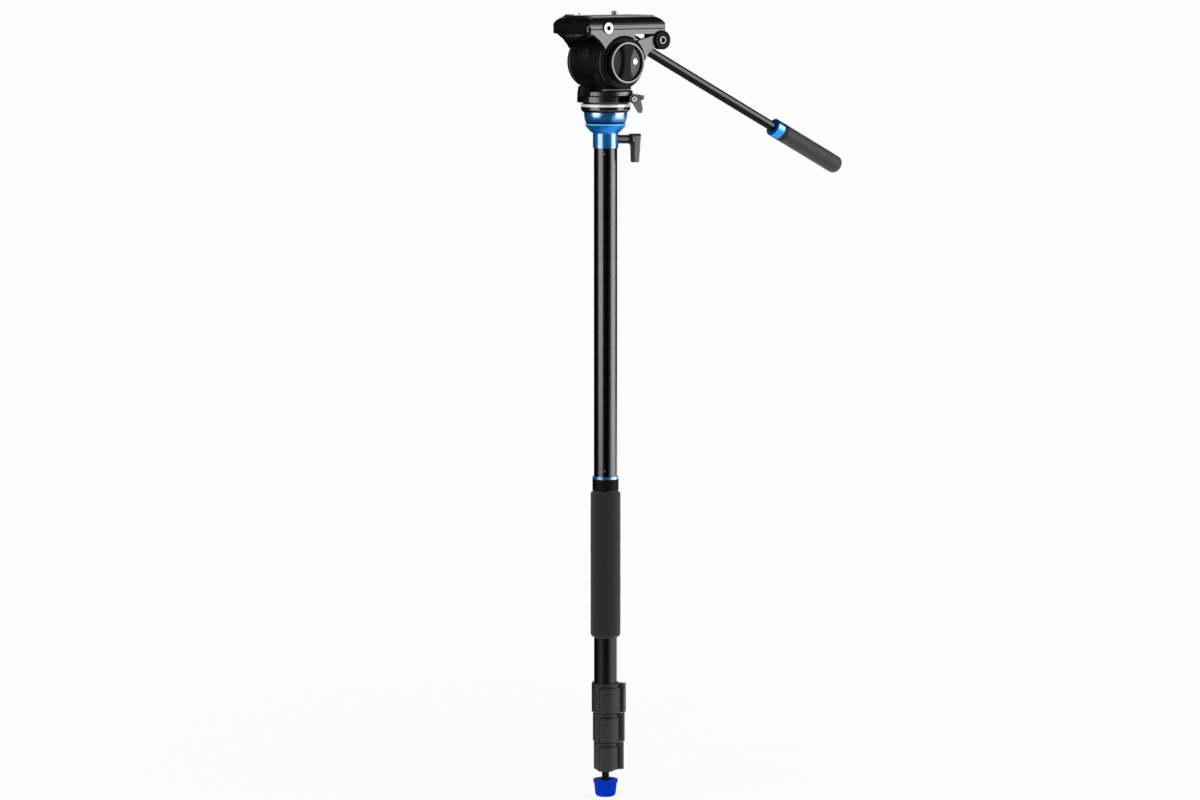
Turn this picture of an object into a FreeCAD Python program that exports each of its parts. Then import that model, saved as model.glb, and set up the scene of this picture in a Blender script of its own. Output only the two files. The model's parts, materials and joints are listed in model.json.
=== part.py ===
"""Telescopic video monopod with a levelling half ball and a fluid video head.

Millimetres. The origin is the middle of the rubber foot's underside, and +Z runs up the pole.
The head looks along -X, its pan bar points to +X, and its tilt axle lies along Y.
"""
import FreeCAD, Part
import math
import os

V = FreeCAD.Vector
X = V(1, 0, 0)
Y = V(0, 1, 0)
Z = V(0, 0, 1)

# Clearances
fit_gap = 0.05
running_gap = 0.1
free_gap = 0.3
seam_width = 0.5
overlap = 1.0

# Directions of the side fittings, in degrees about +Z from +X
fitting_azimuth = -37.0
set_screw_azimuth = -134.0

# Rubber foot and its stud
foot_height = 18.4
foot_rim_height = 2.8
foot_rim_radius = 13.45
foot_top_radius = 12.7
foot_sole_radius = 10.9
foot_sole_rounding = 3.4
foot_travel = 7.5
stud_radius = 3.95
stud_bare_length = 11.4
stud_depth_in_foot = 8.5
washer_radius = 7.0
washer_thickness = 1.6
plug_flange_radius = 8.8
plug_flange_thickness = 2.0
plug_length = 16.0

# Leg tubes, from the widest at the top to the slimmest at the foot
tube_radius = [12.5, 11.0, 9.5, 8.0]
tube_wall = 1.2
guide_flange = 3.0
guide_plug = 5.0
guide_step = 9.0

# Flip locks, from the top one down
lock_radius = [15.2, 13.9, 12.9]
lock_height = [32.8, 32.2, 30.7]
lock_seat_height = 14.0
lock_collar_height = 5.2
lock_edge_chamfer = 1.0
lock_surround = 6.0
lever_inset = 1.0
lever_proud = 1.5
lever_free_side = 6.4
lever_corner_radius = 4.5
hinge_offset = 3.6
hinge_radius = 3.6
hinge_lug_height = 3.4
hinge_pin_radius = 1.5
clamp_slit = 1.2
finger_notch_width = 15.0
finger_notch_height = 2.2
finger_notch_depth = 1.5
finger_notch_rounding = 2.0

# Leg top, grip and column
bare_leg = 50.4
grip_length = 160.7
grip_radius = 16.35
grip_rounding = 3.5
joint_gap = 1.0
leg_collar_height = 12.4
leg_collar_radius = 14.25
leg_spigot_depth = 14.0
accent_ring_height = 3.0
joint_stud_radius = 8.0
joint_stud_depth = 13.0
column_radius = 12.65
column_wall = 1.5
column_length = 356.4
insert_depth = 26.0
set_screw_radius = 1.5
set_screw_height = 6.2
set_screw_reach = 3.2

# Levelling cup and half ball
collar_radius = 13.75
cup_radius = 25.35
ball_radius = 23.37
ball_bore_radius = 16.0
ball_above_collar = 37.1
cup_rim_below_centre = 11.1
ball_top_above_centre = 1.4
liner_thickness = 0.5
liner_low_angle = 24.0
liner_high_angle = 46.0
ball_hole_angle = 33.0
dome_edge_angle = 60.0
draw_rod_radius = 3.0
draw_eye_radius = 5.5
draw_head_radius = 5.5
draw_head_height = 4.0

# Ball lock lever on the collar
ball_lever_rise = 9.3
ball_lever_radius = 4.7
ball_lever_reach = 25.2
ball_lever_shoulder = 8.2
cam_radius = 2.0
cam_throw = 0.4
journal_radius = 1.9
journal_wall = 1.5
ball_handle_radius = 5.9
ball_handle_reach = 38.3
ball_handle_drop = 24.8
ball_handle_half = 6.1
ball_handle_tip_half = 4.5
ball_handle_depth = 4.8
ball_handle_tip_depth = 3.8
ball_handle_lean = 0.6
ball_handle_ridge = 4.0
ball_handle_rounding = 1.2

# Base of the head
flange_radius = 26.7
flange_height = 6.0
flange_chamfer = 2.6
base_ring_height = 2.9
base_gap_height = 1.4
base_ring_wall = 2.6
spindle_radius = 10.0
spindle_height = 10.5
head_screw_radius = 4.76
head_screw_head_radius = 7.0
head_screw_head_height = 1.3
head_screw_length = 18.0
far = 60.0
pan_radius = 30.8
pan_rim_height = 8.0
pan_step_radius = 29.3
pan_height = 13.7
pan_rounding = 2.6
pan_foot_chamfer = 0.6
pan_rim_slope = 1.2

# Pan lock lever
pan_lever_azimuth = -45.0
pan_lever_distance = 33.0
pan_lever_rise = 4.0
pan_lever_hub_radius = 5.2
pan_lever_hub_length = 8.0
pan_lever_front = 12.0
pan_lever_cup_radius = 4.2
pan_lever_drop = 14.6
pan_lever_tip_in = 3.4
pan_lever_tip_out = 7.3
pan_lever_heel_out = 8.5
pan_lever_heel_drop = 11.0
pan_lever_thickness = 5.2
pan_lever_bevel = 2.2
pan_lever_spur = 9.4
pan_lever_spur_half = 3.4
pan_lever_spur_back = 3.6
pan_screw_radius = 2.5
pan_lug_root = 8.0
pan_lug_flank = 12.0
pan_pocket_gap = 1.2
pan_slot_width = 16.0
pan_screw_head_radius = 2.9
pan_screw_head_sink = 2.6
pan_screw_head_height = 1.8
pan_screw_socket_radius = 1.1

# Spirit level on the pan base
level_distance = 27.5
level_boss_radius = 8.8
level_boss_top_radius = 7.3
level_boss_top = 25.5
neck_half_length = 19.3
level_vial_radius = 6.0
level_vial_depth = 3.2
level_vial_sink = 0.4

# Drum of the head, with the tilt axle
tilt_axis_above_flange = 48.0
drum_radius = 27.0
drum_half_width = 20.0
drum_cavity_radius = 16.0
drum_cavity_half_width = 13.0
drum_cap_radius = 6.0
drum_cap_angle = 18.0
drum_cap_height = 1.4
drum_cap_depth = 2.0
drum_cap_dimple_radius = 2.7
drum_cap_dimple_depth = 1.0
axle_radius = 6.0
bushing_wall = 3.0
spring_inner_radius = 8.0
spring_outer_radius = 13.0

# Tilting cradle, measured from the tilt axis
boss_radius = 28.5
boss_rounding = 3.4
groove_width = 0.8
groove_start = 3.4
groove_pitch = 2.6
groove_count = 3
cheek_inner = 27.0
cradle_half_width = 33.0
cradle_front = 47.5
cradle_rear = 57.5
cradle_under = 30.0
parting_height = 35.6
cradle_corner = 4.0
jaw_rounding = 5.2
gusset_bend_x = 33.0
gusset_bend_z = 24.5
gusset_foot_x = 27.0
gusset_foot_z = 18.0
gusset_heel_x = 24.0
gusset_heel_z = 13.0
window_start = 14.5
window_low = 21.7
window_end = 41.0
window_end_low = 28.4
arm_bend_x = 33.5
arm_bend_z = 10.0
arm_end_x = 42.0
arm_end_z = 16.0
rosette_x = 50.4
rosette_z = 23.1
rosette_radius = 10.15
rosette_depth = 8.0
rosette_teeth = 30
rosette_tooth_height = 1.1
rosette_tooth_width = 1.2
rosette_tooth_margin = 0.8
bush_radius = 4.6
bush_proud = 1.0
bush_inset = 2.0

# Upper housing and sliding camera plate
housing_height = 13.7
housing_side_rounding = 12.6
housing_end_rounding = 16.0
channel_front = 40.5
channel_floor_rise = 5.1
channel_floor_half_width = 22.6
channel_top_half_width = 20.4
plate_length = 90.0
plate_stand = 0.5
camera_screw_x = 11.9
camera_screw_radius = 3.175
camera_screw_stand = 4.5
camera_screw_neck_radius = 2.6
camera_screw_head_radius = 9.0
camera_screw_slot_width = 1.4
camera_screw_head_height = 3.8
video_pin_x = 35.2
video_pin_radius = 1.6
video_pin_stand = 2.5
video_pin_flange_radius = 2.6
video_pin_flange_height = 1.5
button_x = 21.8
button_rise = 1.2
button_radius = 5.9
button_proud = 1.7
button_travel = 2.5
button_length = 6.6
button_dimple_radius = 2.2
button_dimple_depth = 1.6
plate_knob_radius = 9.0
plate_knob_height = 9.0
plate_knob_rise = 5.9
plate_knob_lobes = 12
plate_knob_lobe_radius = 1.6
lobe_sink = 0.45
plate_screw_radius = 2.5
spot_face = 1.8

# Tilt knob on the left side
knob_radius = 21.6
knob_ring_radius = 22.0
knob_ring_wall = 2.3
knob_thickness = 7.0
knob_dish_depth = 4.0
knob_bar_half_width = 6.8
knob_stud_radius = 2.9
knob_stud_length = 9.0
knob_disc_radius = 3.1
knob_disc_x = 11.2
knob_disc_height = 0.7
knob_ring_height = 2.6
knob_lip = 0.6

# Pan bar on the right side
handle_angle = 26.5
handle_offset = 5.7
handle_hub_width = 15.6
handle_bar_radius = 5.4
handle_bar_wall = 1.2
handle_bar_start = 13.0
handle_boss_end = 31.0
handle_ring_start = 242.0
handle_ring_length = 14.6
handle_grip_radius = 10.15
handle_grip_end = 349.0
handle_tip_wall = 4.0
handle_tip_rounding = 6.0
handle_bolt_radius = 2.9
handle_bolt_inset = 3.0
handle_knob_radius = 11.0
handle_knob_height = 11.0
handle_knob_lobes = 6
handle_knob_lobe_radius = 3.4


def cylinder(radius, low, high, x=0.0, y=0.0):
    """Upright cylinder between two heights."""
    return Part.makeCylinder(radius, high - low, V(x, y, low), Z)


def ring(outer, inner, low, high):
    """Upright ring between two heights."""
    return cylinder(outer, low, high).cut(cylinder(inner, low - 1, high + 1))


def across(radius, x, z, low, high):
    """Cylinder that lies along Y between two places."""
    return Part.makeCylinder(radius, high - low, V(x, low, z), Y)


def along(radius, start, direction, length):
    """Cylinder from a start point in any direction."""
    return Part.makeCylinder(radius, length, start, direction)


def block(x0, x1, y0, y1, z0, z1):
    """Box between two corners."""
    return Part.makeBox(x1 - x0, y1 - y0, z1 - z0, V(x0, y0, z0))


def turned(profile):
    """Solid of revolution about the pole from (radius, height) points."""
    points = [V(r, 0, z) for r, z in profile]
    face = Part.Face(Part.makePolygon(points + [points[0]]))
    return face.revolve(V(0, 0, 0), Z, 360)


def side_plate(outline, low, high):
    """Plate cut from an (x, z) outline and spread along Y."""
    points = [V(x, low, z) for x, z in outline]
    face = Part.Face(Part.makePolygon(points + [points[0]]))
    return face.extrude(V(0, high - low, 0))


def cross_section(outline, low, high):
    """Bar with a (y, z) outline, spread along X."""
    points = [V(low, y, z) for y, z in outline]
    face = Part.Face(Part.makePolygon(points + [points[0]]))
    return face.extrude(V(high - low, 0, 0))


def rounded_slab(x0, x1, y0, y1, radius, low, high):
    """Upright slab with rounded corners in plan."""
    slab = block(x0, x1, y0, y1, low, high)
    upright = [e for e in slab.Edges if abs(e.tangentAt(e.FirstParameter).z) > 0.9]
    return slab.makeFillet(radius, upright)


def rounded_panel(x0, x1, z0, z1, radius, low, high):
    """Slab with rounded corners when seen along Y."""
    slab = block(x0, x1, low, high, z0, z1)
    lying = [e for e in slab.Edges if abs(e.tangentAt(e.FirstParameter).y) > 0.9]
    return slab.makeFillet(radius, lying)


def round_edges(shape, radius, wanted):
    """Fillet the edges that a test picks."""
    return shape.makeFillet(radius, [e for e in shape.Edges if wanted(e)])


def at_height(height, radius):
    """Test for a full circle at one height with one radius."""
    def test(edge):
        curve = edge.Curve
        if not isinstance(curve, Part.Circle):
            return False
        return abs(curve.Center.z - height) < 0.01 and abs(curve.Radius - radius) < 0.01
    return test


def aimed(shape, azimuth):
    """Copy turned about the pole's axis."""
    copy = shape.copy()
    copy.rotate(V(0, 0, 0), Z, azimuth)
    return copy


def ball_sector(radius, centre, low_angle, high_angle):
    """Part of a ball between two cones, whose angles are counted from straight down."""
    middle = V(0, 0, centre)
    arc = []
    for step in range(3):
        angle = math.radians(low_angle + (high_angle - low_angle) * step / 2)
        arc.append(V(radius * math.sin(angle), 0, centre - radius * math.cos(angle)))
    edges = [Part.makeLine(middle, arc[0]), Part.Arc(arc[0], arc[1], arc[2]).toShape()]
    edges.append(Part.makeLine(arc[2], middle))
    face = Part.Face(Part.Wire(edges))
    return face.revolve(V(0, 0, 0), Z, 360)


def ellipse_corner(x, z, across_size, up_size, steps=10):
    """Points of a quarter ellipse that rounds the top corner at (x, z)."""
    side = math.copysign(1.0, x)
    points = []
    for step in range(steps + 1):
        angle = math.radians(90.0 * step / steps)
        points.append((x - side * across_size * (1 - math.cos(angle)),
                       z - up_size * (1 - math.sin(angle))))
    return points


def lobed_knob(radius, lobes, lobe_radius, low, high):
    """Upright knob whose edge has scooped flutes."""
    knob = cylinder(radius, low, high)
    for lobe in range(lobes):
        angle = math.radians(360.0 * lobe / lobes)
        place = radius + lobe_sink * lobe_radius
        knob = knob.cut(cylinder(lobe_radius, low - 1, high + 1,
                                 place * math.cos(angle), place * math.sin(angle)))
    return knob


def laid_to_side(shape, x, y, z, side):
    """Turn an upright shape so that its +Z points to +Y or -Y, and put it in place."""
    copy = shape.copy()
    copy.rotate(V(0, 0, 0), X, -90 * side)
    copy.translate(V(x, y, z))
    return copy


# Heights of the pole, from the ground up
stud_top = foot_height + stud_bare_length
plug_low = stud_top - plug_flange_thickness
lock_low = [0.0, 0.0, 0.0]
lock_low[2] = stud_top + free_gap
lock_low[1] = lock_low[2] + lock_height[2] + free_gap
lock_low[0] = lock_low[1] + lock_height[1] + free_gap
leg_top = lock_low[0] + lock_height[0] + bare_leg + grip_length + joint_gap
column_low = leg_top + leg_collar_height + accent_ring_height
column_high = column_low + column_length
ball_centre = column_high + ball_above_collar
ball_top = ball_centre + ball_top_above_centre
flange_top = ball_top + flange_height
base_ring_top = flange_top + base_ring_height
base_top = base_ring_top + base_gap_height
tilt_axis = flange_top + tilt_axis_above_flange

# Heights above the tilt axis that follow from the parting line
housing_top = parting_height + housing_height
channel_floor = parting_height + channel_floor_rise
plate_top = housing_top + plate_stand
plate_knob_z = parting_height + plate_knob_rise
button_z = parting_height + button_rise

# Radii that follow from the tubes
tube_bore = [radius - tube_wall for radius in tube_radius]
tube_low = [lock_low[0] + lock_seat_height, lock_low[1] + lock_seat_height,
            lock_low[2] + lock_seat_height, stud_top]
tube_high = [leg_top, 0.0, 0.0, 0.0]
tube_high[1] = leg_top - leg_spigot_depth - free_gap - guide_flange
tube_high[2] = tube_high[1] - guide_step
tube_high[3] = tube_high[2] - guide_step


def leg_tube(index):
    """One aluminium tube of the telescopic leg."""
    return ring(tube_radius[index], tube_bore[index], tube_low[index], tube_high[index])


def leg_guide(index):
    """Plastic cap on top of an inner tube, which keeps it in line with the tube around it."""
    top = tube_high[index]
    flange = cylinder(tube_bore[index - 1] - running_gap, top, top + guide_flange)
    return flange.fuse(cylinder(tube_bore[index] - fit_gap, top - guide_plug, top))


def lock_body(index):
    """Clamp collar at the lower end of a tube, with lugs for the lever's hinge pin."""
    radius = lock_radius[index]
    low = lock_low[index]
    high = low + lock_height[index]
    lever_top = high - lock_collar_height
    pin = radius + hinge_offset
    body = turned([(0, low), (radius - lock_edge_chamfer, low), (radius, low + lock_edge_chamfer),
                   (radius, high - lock_edge_chamfer), (radius - lock_edge_chamfer, high), (0, high)])
    side = radius + lock_surround
    pocket = ring(side, radius - lever_inset - free_gap, low - 1, lever_top + free_gap)
    keep = block(-side, -lever_free_side - free_gap, -side, side, low - 2, high + 1)
    keep = keep.fuse(block(-side, side, hinge_radius + free_gap, side, low - 2, high + 1))
    body = body.cut(pocket.cut(keep))
    lug_heights = ((low, low + hinge_lug_height), (lever_top + free_gap, high - lock_edge_chamfer))
    for lug_low, lug_high in lug_heights:
        lug = cylinder(hinge_radius, lug_low, lug_high, pin)
        lug = lug.fuse(block(radius - hinge_offset, pin, -hinge_radius, hinge_radius, lug_low, lug_high))
        body = body.fuse(lug)
    notch = rounded_panel(-finger_notch_width / 2, finger_notch_width / 2, lever_top - finger_notch_height,
                          lever_top + finger_notch_height, finger_notch_rounding, -radius - 1,
                          -radius + finger_notch_depth)
    body = body.cut(notch)
    body = body.cut(cylinder(tube_radius[index] + fit_gap, low + lock_seat_height, high + 1))
    body = body.cut(cylinder(tube_radius[index + 1] + free_gap, low - 1, high))
    slit_low = low + hinge_lug_height + free_gap
    body = body.cut(block(0, radius, -clamp_slit / 2, clamp_slit / 2, slit_low, lever_top))
    body = body.cut(cylinder(hinge_pin_radius + fit_gap, low - 1, high + 1, pin))
    return aimed(body, fitting_azimuth)


def lock_lever(index):
    """Flip lever that wraps the front of its clamp collar and swings on the hinge pin."""
    radius = lock_radius[index]
    low = lock_low[index]
    lever_top = low + lock_height[index] - lock_collar_height
    pin = radius + hinge_offset
    lug_top = low + hinge_lug_height + free_gap
    shell = ring(radius + lever_proud, radius - lever_inset, low + free_gap, lever_top)
    panel = rounded_panel(-lever_free_side, 2 * pin, low + free_gap, lever_top,
                          lever_corner_radius, -radius - lock_surround, 0)
    lever = shell.common(panel)
    lug_room = cylinder(hinge_radius + free_gap, low - 1, lug_top, pin)
    lug_side = -hinge_radius - free_gap
    lug_room = lug_room.fuse(block(radius - lock_surround, pin, lug_side, 1, low - 1, lug_top))
    lever = lever.cut(lug_room)
    barrel = cylinder(hinge_radius, lug_top, lever_top, pin)
    lever = lever.fuse(barrel).cut(cylinder(hinge_pin_radius + running_gap, low - 1, lever_top + 1, pin))
    return aimed(lever.removeSplitter(), fitting_azimuth)


def lock_pin(index):
    """Steel hinge pin of a flip lever."""
    low = lock_low[index] + fit_gap
    high = lock_low[index] + lock_height[index] - lock_edge_chamfer
    pin = cylinder(hinge_pin_radius, low, high, lock_radius[index] + hinge_offset)
    return aimed(pin, fitting_azimuth)


def foot_parts():
    """Rubber foot, the washer in its top, the stud and the plug that holds the stud."""
    sole = turned([(0, 0), (foot_sole_radius, 0), (foot_top_radius, foot_height - foot_rim_height),
                   (foot_rim_radius, foot_height - foot_rim_height), (foot_rim_radius, foot_height),
                   (0, foot_height)])
    sole = round_edges(sole, foot_sole_rounding, at_height(0, foot_sole_radius))
    stud_low = foot_height - stud_depth_in_foot
    bore_low = stud_low - foot_travel - free_gap
    foot = sole.cut(cylinder(stud_radius + running_gap, bore_low, foot_height + 1))
    seat = foot_height - washer_thickness - free_gap
    foot = foot.cut(cylinder(washer_radius + free_gap, seat, foot_height + 1))
    washer = ring(washer_radius, stud_radius + running_gap, seat + free_gap, foot_height)
    plug_high = stud_top + plug_length
    stud = cylinder(stud_radius, stud_low, plug_high - guide_plug)
    plug = cylinder(plug_flange_radius, plug_low, stud_top)
    plug = plug.fuse(cylinder(tube_bore[3] - fit_gap, stud_top, plug_high))
    plug = plug.cut(cylinder(stud_radius + fit_gap, plug_low - 1, plug_high - guide_plug + fit_gap))
    return {"rubber_foot": foot, "foot_washer": washer, "foot_stud": stud, "foot_plug": plug}


def leg_parts():
    """Tubes, guides and flip locks of the leg."""
    parts = {}
    for index in range(4):
        parts["leg_tube_%d" % (index + 1)] = leg_tube(index)
    for index in range(1, 4):
        parts["leg_guide_%d" % (index + 1)] = leg_guide(index)
    for index in range(3):
        parts["lock_body_%d" % (index + 1)] = lock_body(index)
        parts["lock_lever_%d" % (index + 1)] = lock_lever(index)
        parts["lock_pin_%d" % (index + 1)] = lock_pin(index)
    return parts


def grip_and_joint():
    """Foam grip, the collar on top of the leg and the ring between leg and column."""
    grip_low = leg_top - joint_gap - grip_length
    grip = ring(grip_radius, tube_radius[0], grip_low, leg_top - joint_gap)
    grip = round_edges(grip, grip_rounding, at_height(grip_low, grip_radius))
    grip = round_edges(grip, grip_rounding, at_height(leg_top - joint_gap, grip_radius))
    collar_high = leg_top + leg_collar_height
    collar = cylinder(leg_collar_radius, leg_top, collar_high)
    collar = collar.fuse(cylinder(tube_bore[0] - fit_gap, leg_top - leg_spigot_depth, leg_top))
    collar = collar.cut(cylinder(joint_stud_radius + fit_gap, collar_high - joint_stud_depth - free_gap,
                                 collar_high + 1))
    accent = ring(leg_collar_radius, joint_stud_radius + fit_gap, collar_high, column_low)
    return {"foam_grip": grip, "leg_top_collar": collar, "accent_ring": accent}


def set_screw(height, grow):
    """Grub screw through the column's wall, or its hole when grown."""
    angle = math.radians(set_screw_azimuth)
    direction = V(math.cos(angle), math.sin(angle), 0)
    start = direction * (column_radius + running_gap)
    start.z = height
    return along(set_screw_radius + grow, start, direction * -1, set_screw_reach + grow)


def column_parts():
    """Centre column, the insert at its foot and its two grub screws."""
    bore = column_radius - column_wall
    low_screw = column_low + set_screw_height
    high_screw = column_high - set_screw_height
    column = ring(column_radius, bore, column_low, column_high)
    insert = cylinder(bore - fit_gap, column_low, column_low + insert_depth)
    stud_low = column_low - accent_ring_height - joint_stud_depth
    insert = insert.fuse(cylinder(joint_stud_radius, stud_low, column_low))
    column = column.cut(set_screw(low_screw, fit_gap)).cut(set_screw(high_screw, fit_gap))
    insert = insert.cut(set_screw(low_screw, fit_gap))
    screws = Part.makeCompound([set_screw(low_screw, 0), set_screw(high_screw, 0)])
    return {"column_tube": column, "column_insert": insert, "column_set_screws": screws}


def cup_parts():
    """Levelling cup with its collar, the draw rod and the dome that pulls the half ball down."""
    rim = ball_centre - cup_rim_below_centre
    lever_height = column_high + ball_lever_rise
    seat_radius = ball_radius + liner_thickness + 2 * running_gap
    bore = draw_eye_radius + free_gap
    column_bore = column_radius - column_wall
    bowl = Part.makeSphere(cup_radius, V(0, 0, ball_centre))
    bowl = bowl.common(cylinder(cup_radius + 1, ball_centre - cup_radius - 1, rim))
    collar_top = ball_centre - math.sqrt(cup_radius ** 2 - collar_radius ** 2)
    cup = bowl.fuse(cylinder(collar_radius, column_high, collar_top))
    cup = cup.fuse(cylinder(column_bore - fit_gap, column_high - insert_depth, column_high))
    cup = cup.cut(Part.makeSphere(seat_radius, V(0, 0, ball_centre)))
    cup = cup.cut(cylinder(bore, column_high - insert_depth - 1, ball_centre))
    shoulder = V(ball_lever_shoulder - free_gap, 0, lever_height)
    shaft_bore = along(ball_lever_radius + running_gap, shoulder, X, ball_lever_reach)
    cam_room = along(cam_radius + cam_throw + free_gap, V(0, 0, lever_height), X, shoulder.x)
    shaft_bore = shaft_bore.fuse(cam_room)
    journal_bore = along(journal_radius + running_gap, V(0, 0, lever_height), X * -1,
                         collar_radius - journal_wall)
    cup = cup.cut(aimed(shaft_bore.fuse(journal_bore), fitting_azimuth))
    cup = cup.cut(set_screw(column_high - set_screw_height, fit_gap))

    eye_top = ball_centre - seat_radius - free_gap
    eye_low = lever_height - draw_eye_radius
    dome_low = ball_centre - ball_bore_radius
    dome_top = ball_centre - ball_bore_radius * math.cos(math.radians(dome_edge_angle))
    rod = cylinder(draw_eye_radius, eye_low, eye_top)
    rod = rod.fuse(cylinder(draw_rod_radius, eye_low, dome_top))
    rod = rod.fuse(cylinder(draw_head_radius, dome_top, dome_top + draw_head_height))
    cam_room = along(cam_radius + cam_throw + free_gap, V(-bore, 0, lever_height), X, 2 * bore)
    rod = rod.cut(aimed(cam_room, fitting_azimuth))
    dome = Part.makeSphere(ball_bore_radius - running_gap, V(0, 0, ball_centre))
    dome = dome.common(cylinder(ball_bore_radius, dome_low - 1, dome_top))
    dome = dome.cut(cylinder(draw_rod_radius + fit_gap, dome_low - 1, dome_top + 1))
    return {"leveling_cup": cup, "draw_rod": rod, "clamp_dome": dome}


def lever_section(x, z, half_width, half_depth):
    """Level cross-section of the lever's arm, with a ridge down its front."""
    front = -half_depth
    outline = [(x - half_width, front + ball_handle_ridge / 2), (x - half_width + ball_handle_ridge, front),
               (x + half_width, front), (x + half_width, half_depth), (x - half_width, half_depth)]
    points = [V(px, py, z) for px, py in outline]
    return Part.makePolygon(points + [points[0]])


def ball_lever_parts():
    """Shaft with its eccentric and the bent handle that lock the half ball."""
    height = column_high + ball_lever_rise
    bore = draw_eye_radius + free_gap
    shoulder = V(ball_lever_shoulder, 0, height)
    shaft = along(ball_lever_radius, shoulder, X, ball_lever_reach - ball_lever_shoulder)
    cam_end = 2 * free_gap - bore
    cam = along(cam_radius, V(cam_end, 0, height - cam_throw), X, ball_lever_shoulder - cam_end)
    journal_reach = collar_radius - journal_wall - free_gap
    journal = along(journal_radius, V(cam_end, 0, height), X * -1, journal_reach + cam_end)
    shaft = shaft.fuse(cam).fuse(journal)

    arm_x = ball_handle_reach - ball_handle_half
    root = lever_section(arm_x, height + ball_handle_radius, ball_handle_half, ball_handle_depth)
    tip = lever_section(arm_x - ball_handle_lean, height - ball_handle_drop, ball_handle_tip_half,
                        ball_handle_tip_depth)
    arm = Part.makeLoft([root, tip], True, True)
    arm = arm.makeFillet(ball_handle_rounding, arm.Edges)
    elbow = along(ball_handle_radius, V(ball_lever_reach, 0, height), X, arm_x - ball_lever_reach)
    handle = elbow.fuse(arm).removeSplitter()
    return {"ball_lever_shaft": aimed(shaft, fitting_azimuth),
            "ball_lever_handle": aimed(handle, fitting_azimuth)}


def ball_parts():
    """Half ball with the seat liner and the black flange that carries the head."""
    inner = ball_radius + running_gap
    outer = inner + liner_thickness
    liner = ball_sector(outer, ball_centre, liner_low_angle, liner_high_angle)
    liner = liner.cut(Part.makeSphere(inner, V(0, 0, ball_centre)))
    ball = Part.makeSphere(ball_radius, V(0, 0, ball_centre))
    ball = ball.common(cylinder(ball_radius + 1, ball_centre - ball_radius - 1, ball_top))
    ball = ball.cut(Part.makeSphere(ball_bore_radius, V(0, 0, ball_centre)))
    drop = ball_radius + 1
    hole_radius = drop * math.tan(math.radians(ball_hole_angle))
    hole = Part.makeCone(0, hole_radius, drop, V(0, 0, ball_centre), Z * -1)
    ball = ball.cut(hole)
    flange = turned([(0, ball_top), (flange_radius - flange_chamfer, ball_top),
                     (flange_radius, ball_top + flange_chamfer), (flange_radius, flange_top),
                     (0, flange_top)])
    flange = flange.cut(cylinder(head_screw_radius + fit_gap, ball_top - 1, flange_top + 1))
    base_ring = ring(flange_radius, flange_radius - base_ring_wall, flange_top, base_ring_top)
    spindle = cylinder(flange_radius - base_ring_wall - fit_gap, flange_top, base_top)
    spindle = spindle.fuse(cylinder(spindle_radius, base_top, base_top + spindle_height))
    screw_end = ball_top + head_screw_length + free_gap
    spindle = spindle.cut(cylinder(head_screw_radius + fit_gap, flange_top - 1, screw_end))
    screw = cylinder(head_screw_head_radius, ball_top - head_screw_head_height, ball_top)
    screw = screw.fuse(cylinder(head_screw_radius, ball_top, ball_top + head_screw_length))
    return {"ball_liner": liner, "half_ball": ball, "mount_flange": flange, "base_ring": base_ring,
            "pan_spindle": spindle, "head_screw": screw}


def pan_lever_frame(shape):
    """Put a shape drawn about a screw along +X, with +Y outwards, at the pan lock's place."""
    copy = shape.copy()
    copy.translate(V(0, pan_lever_distance, base_top + pan_lever_rise))
    copy.rotate(V(0, 0, 0), Z, pan_lever_azimuth - 90)
    return copy


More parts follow.
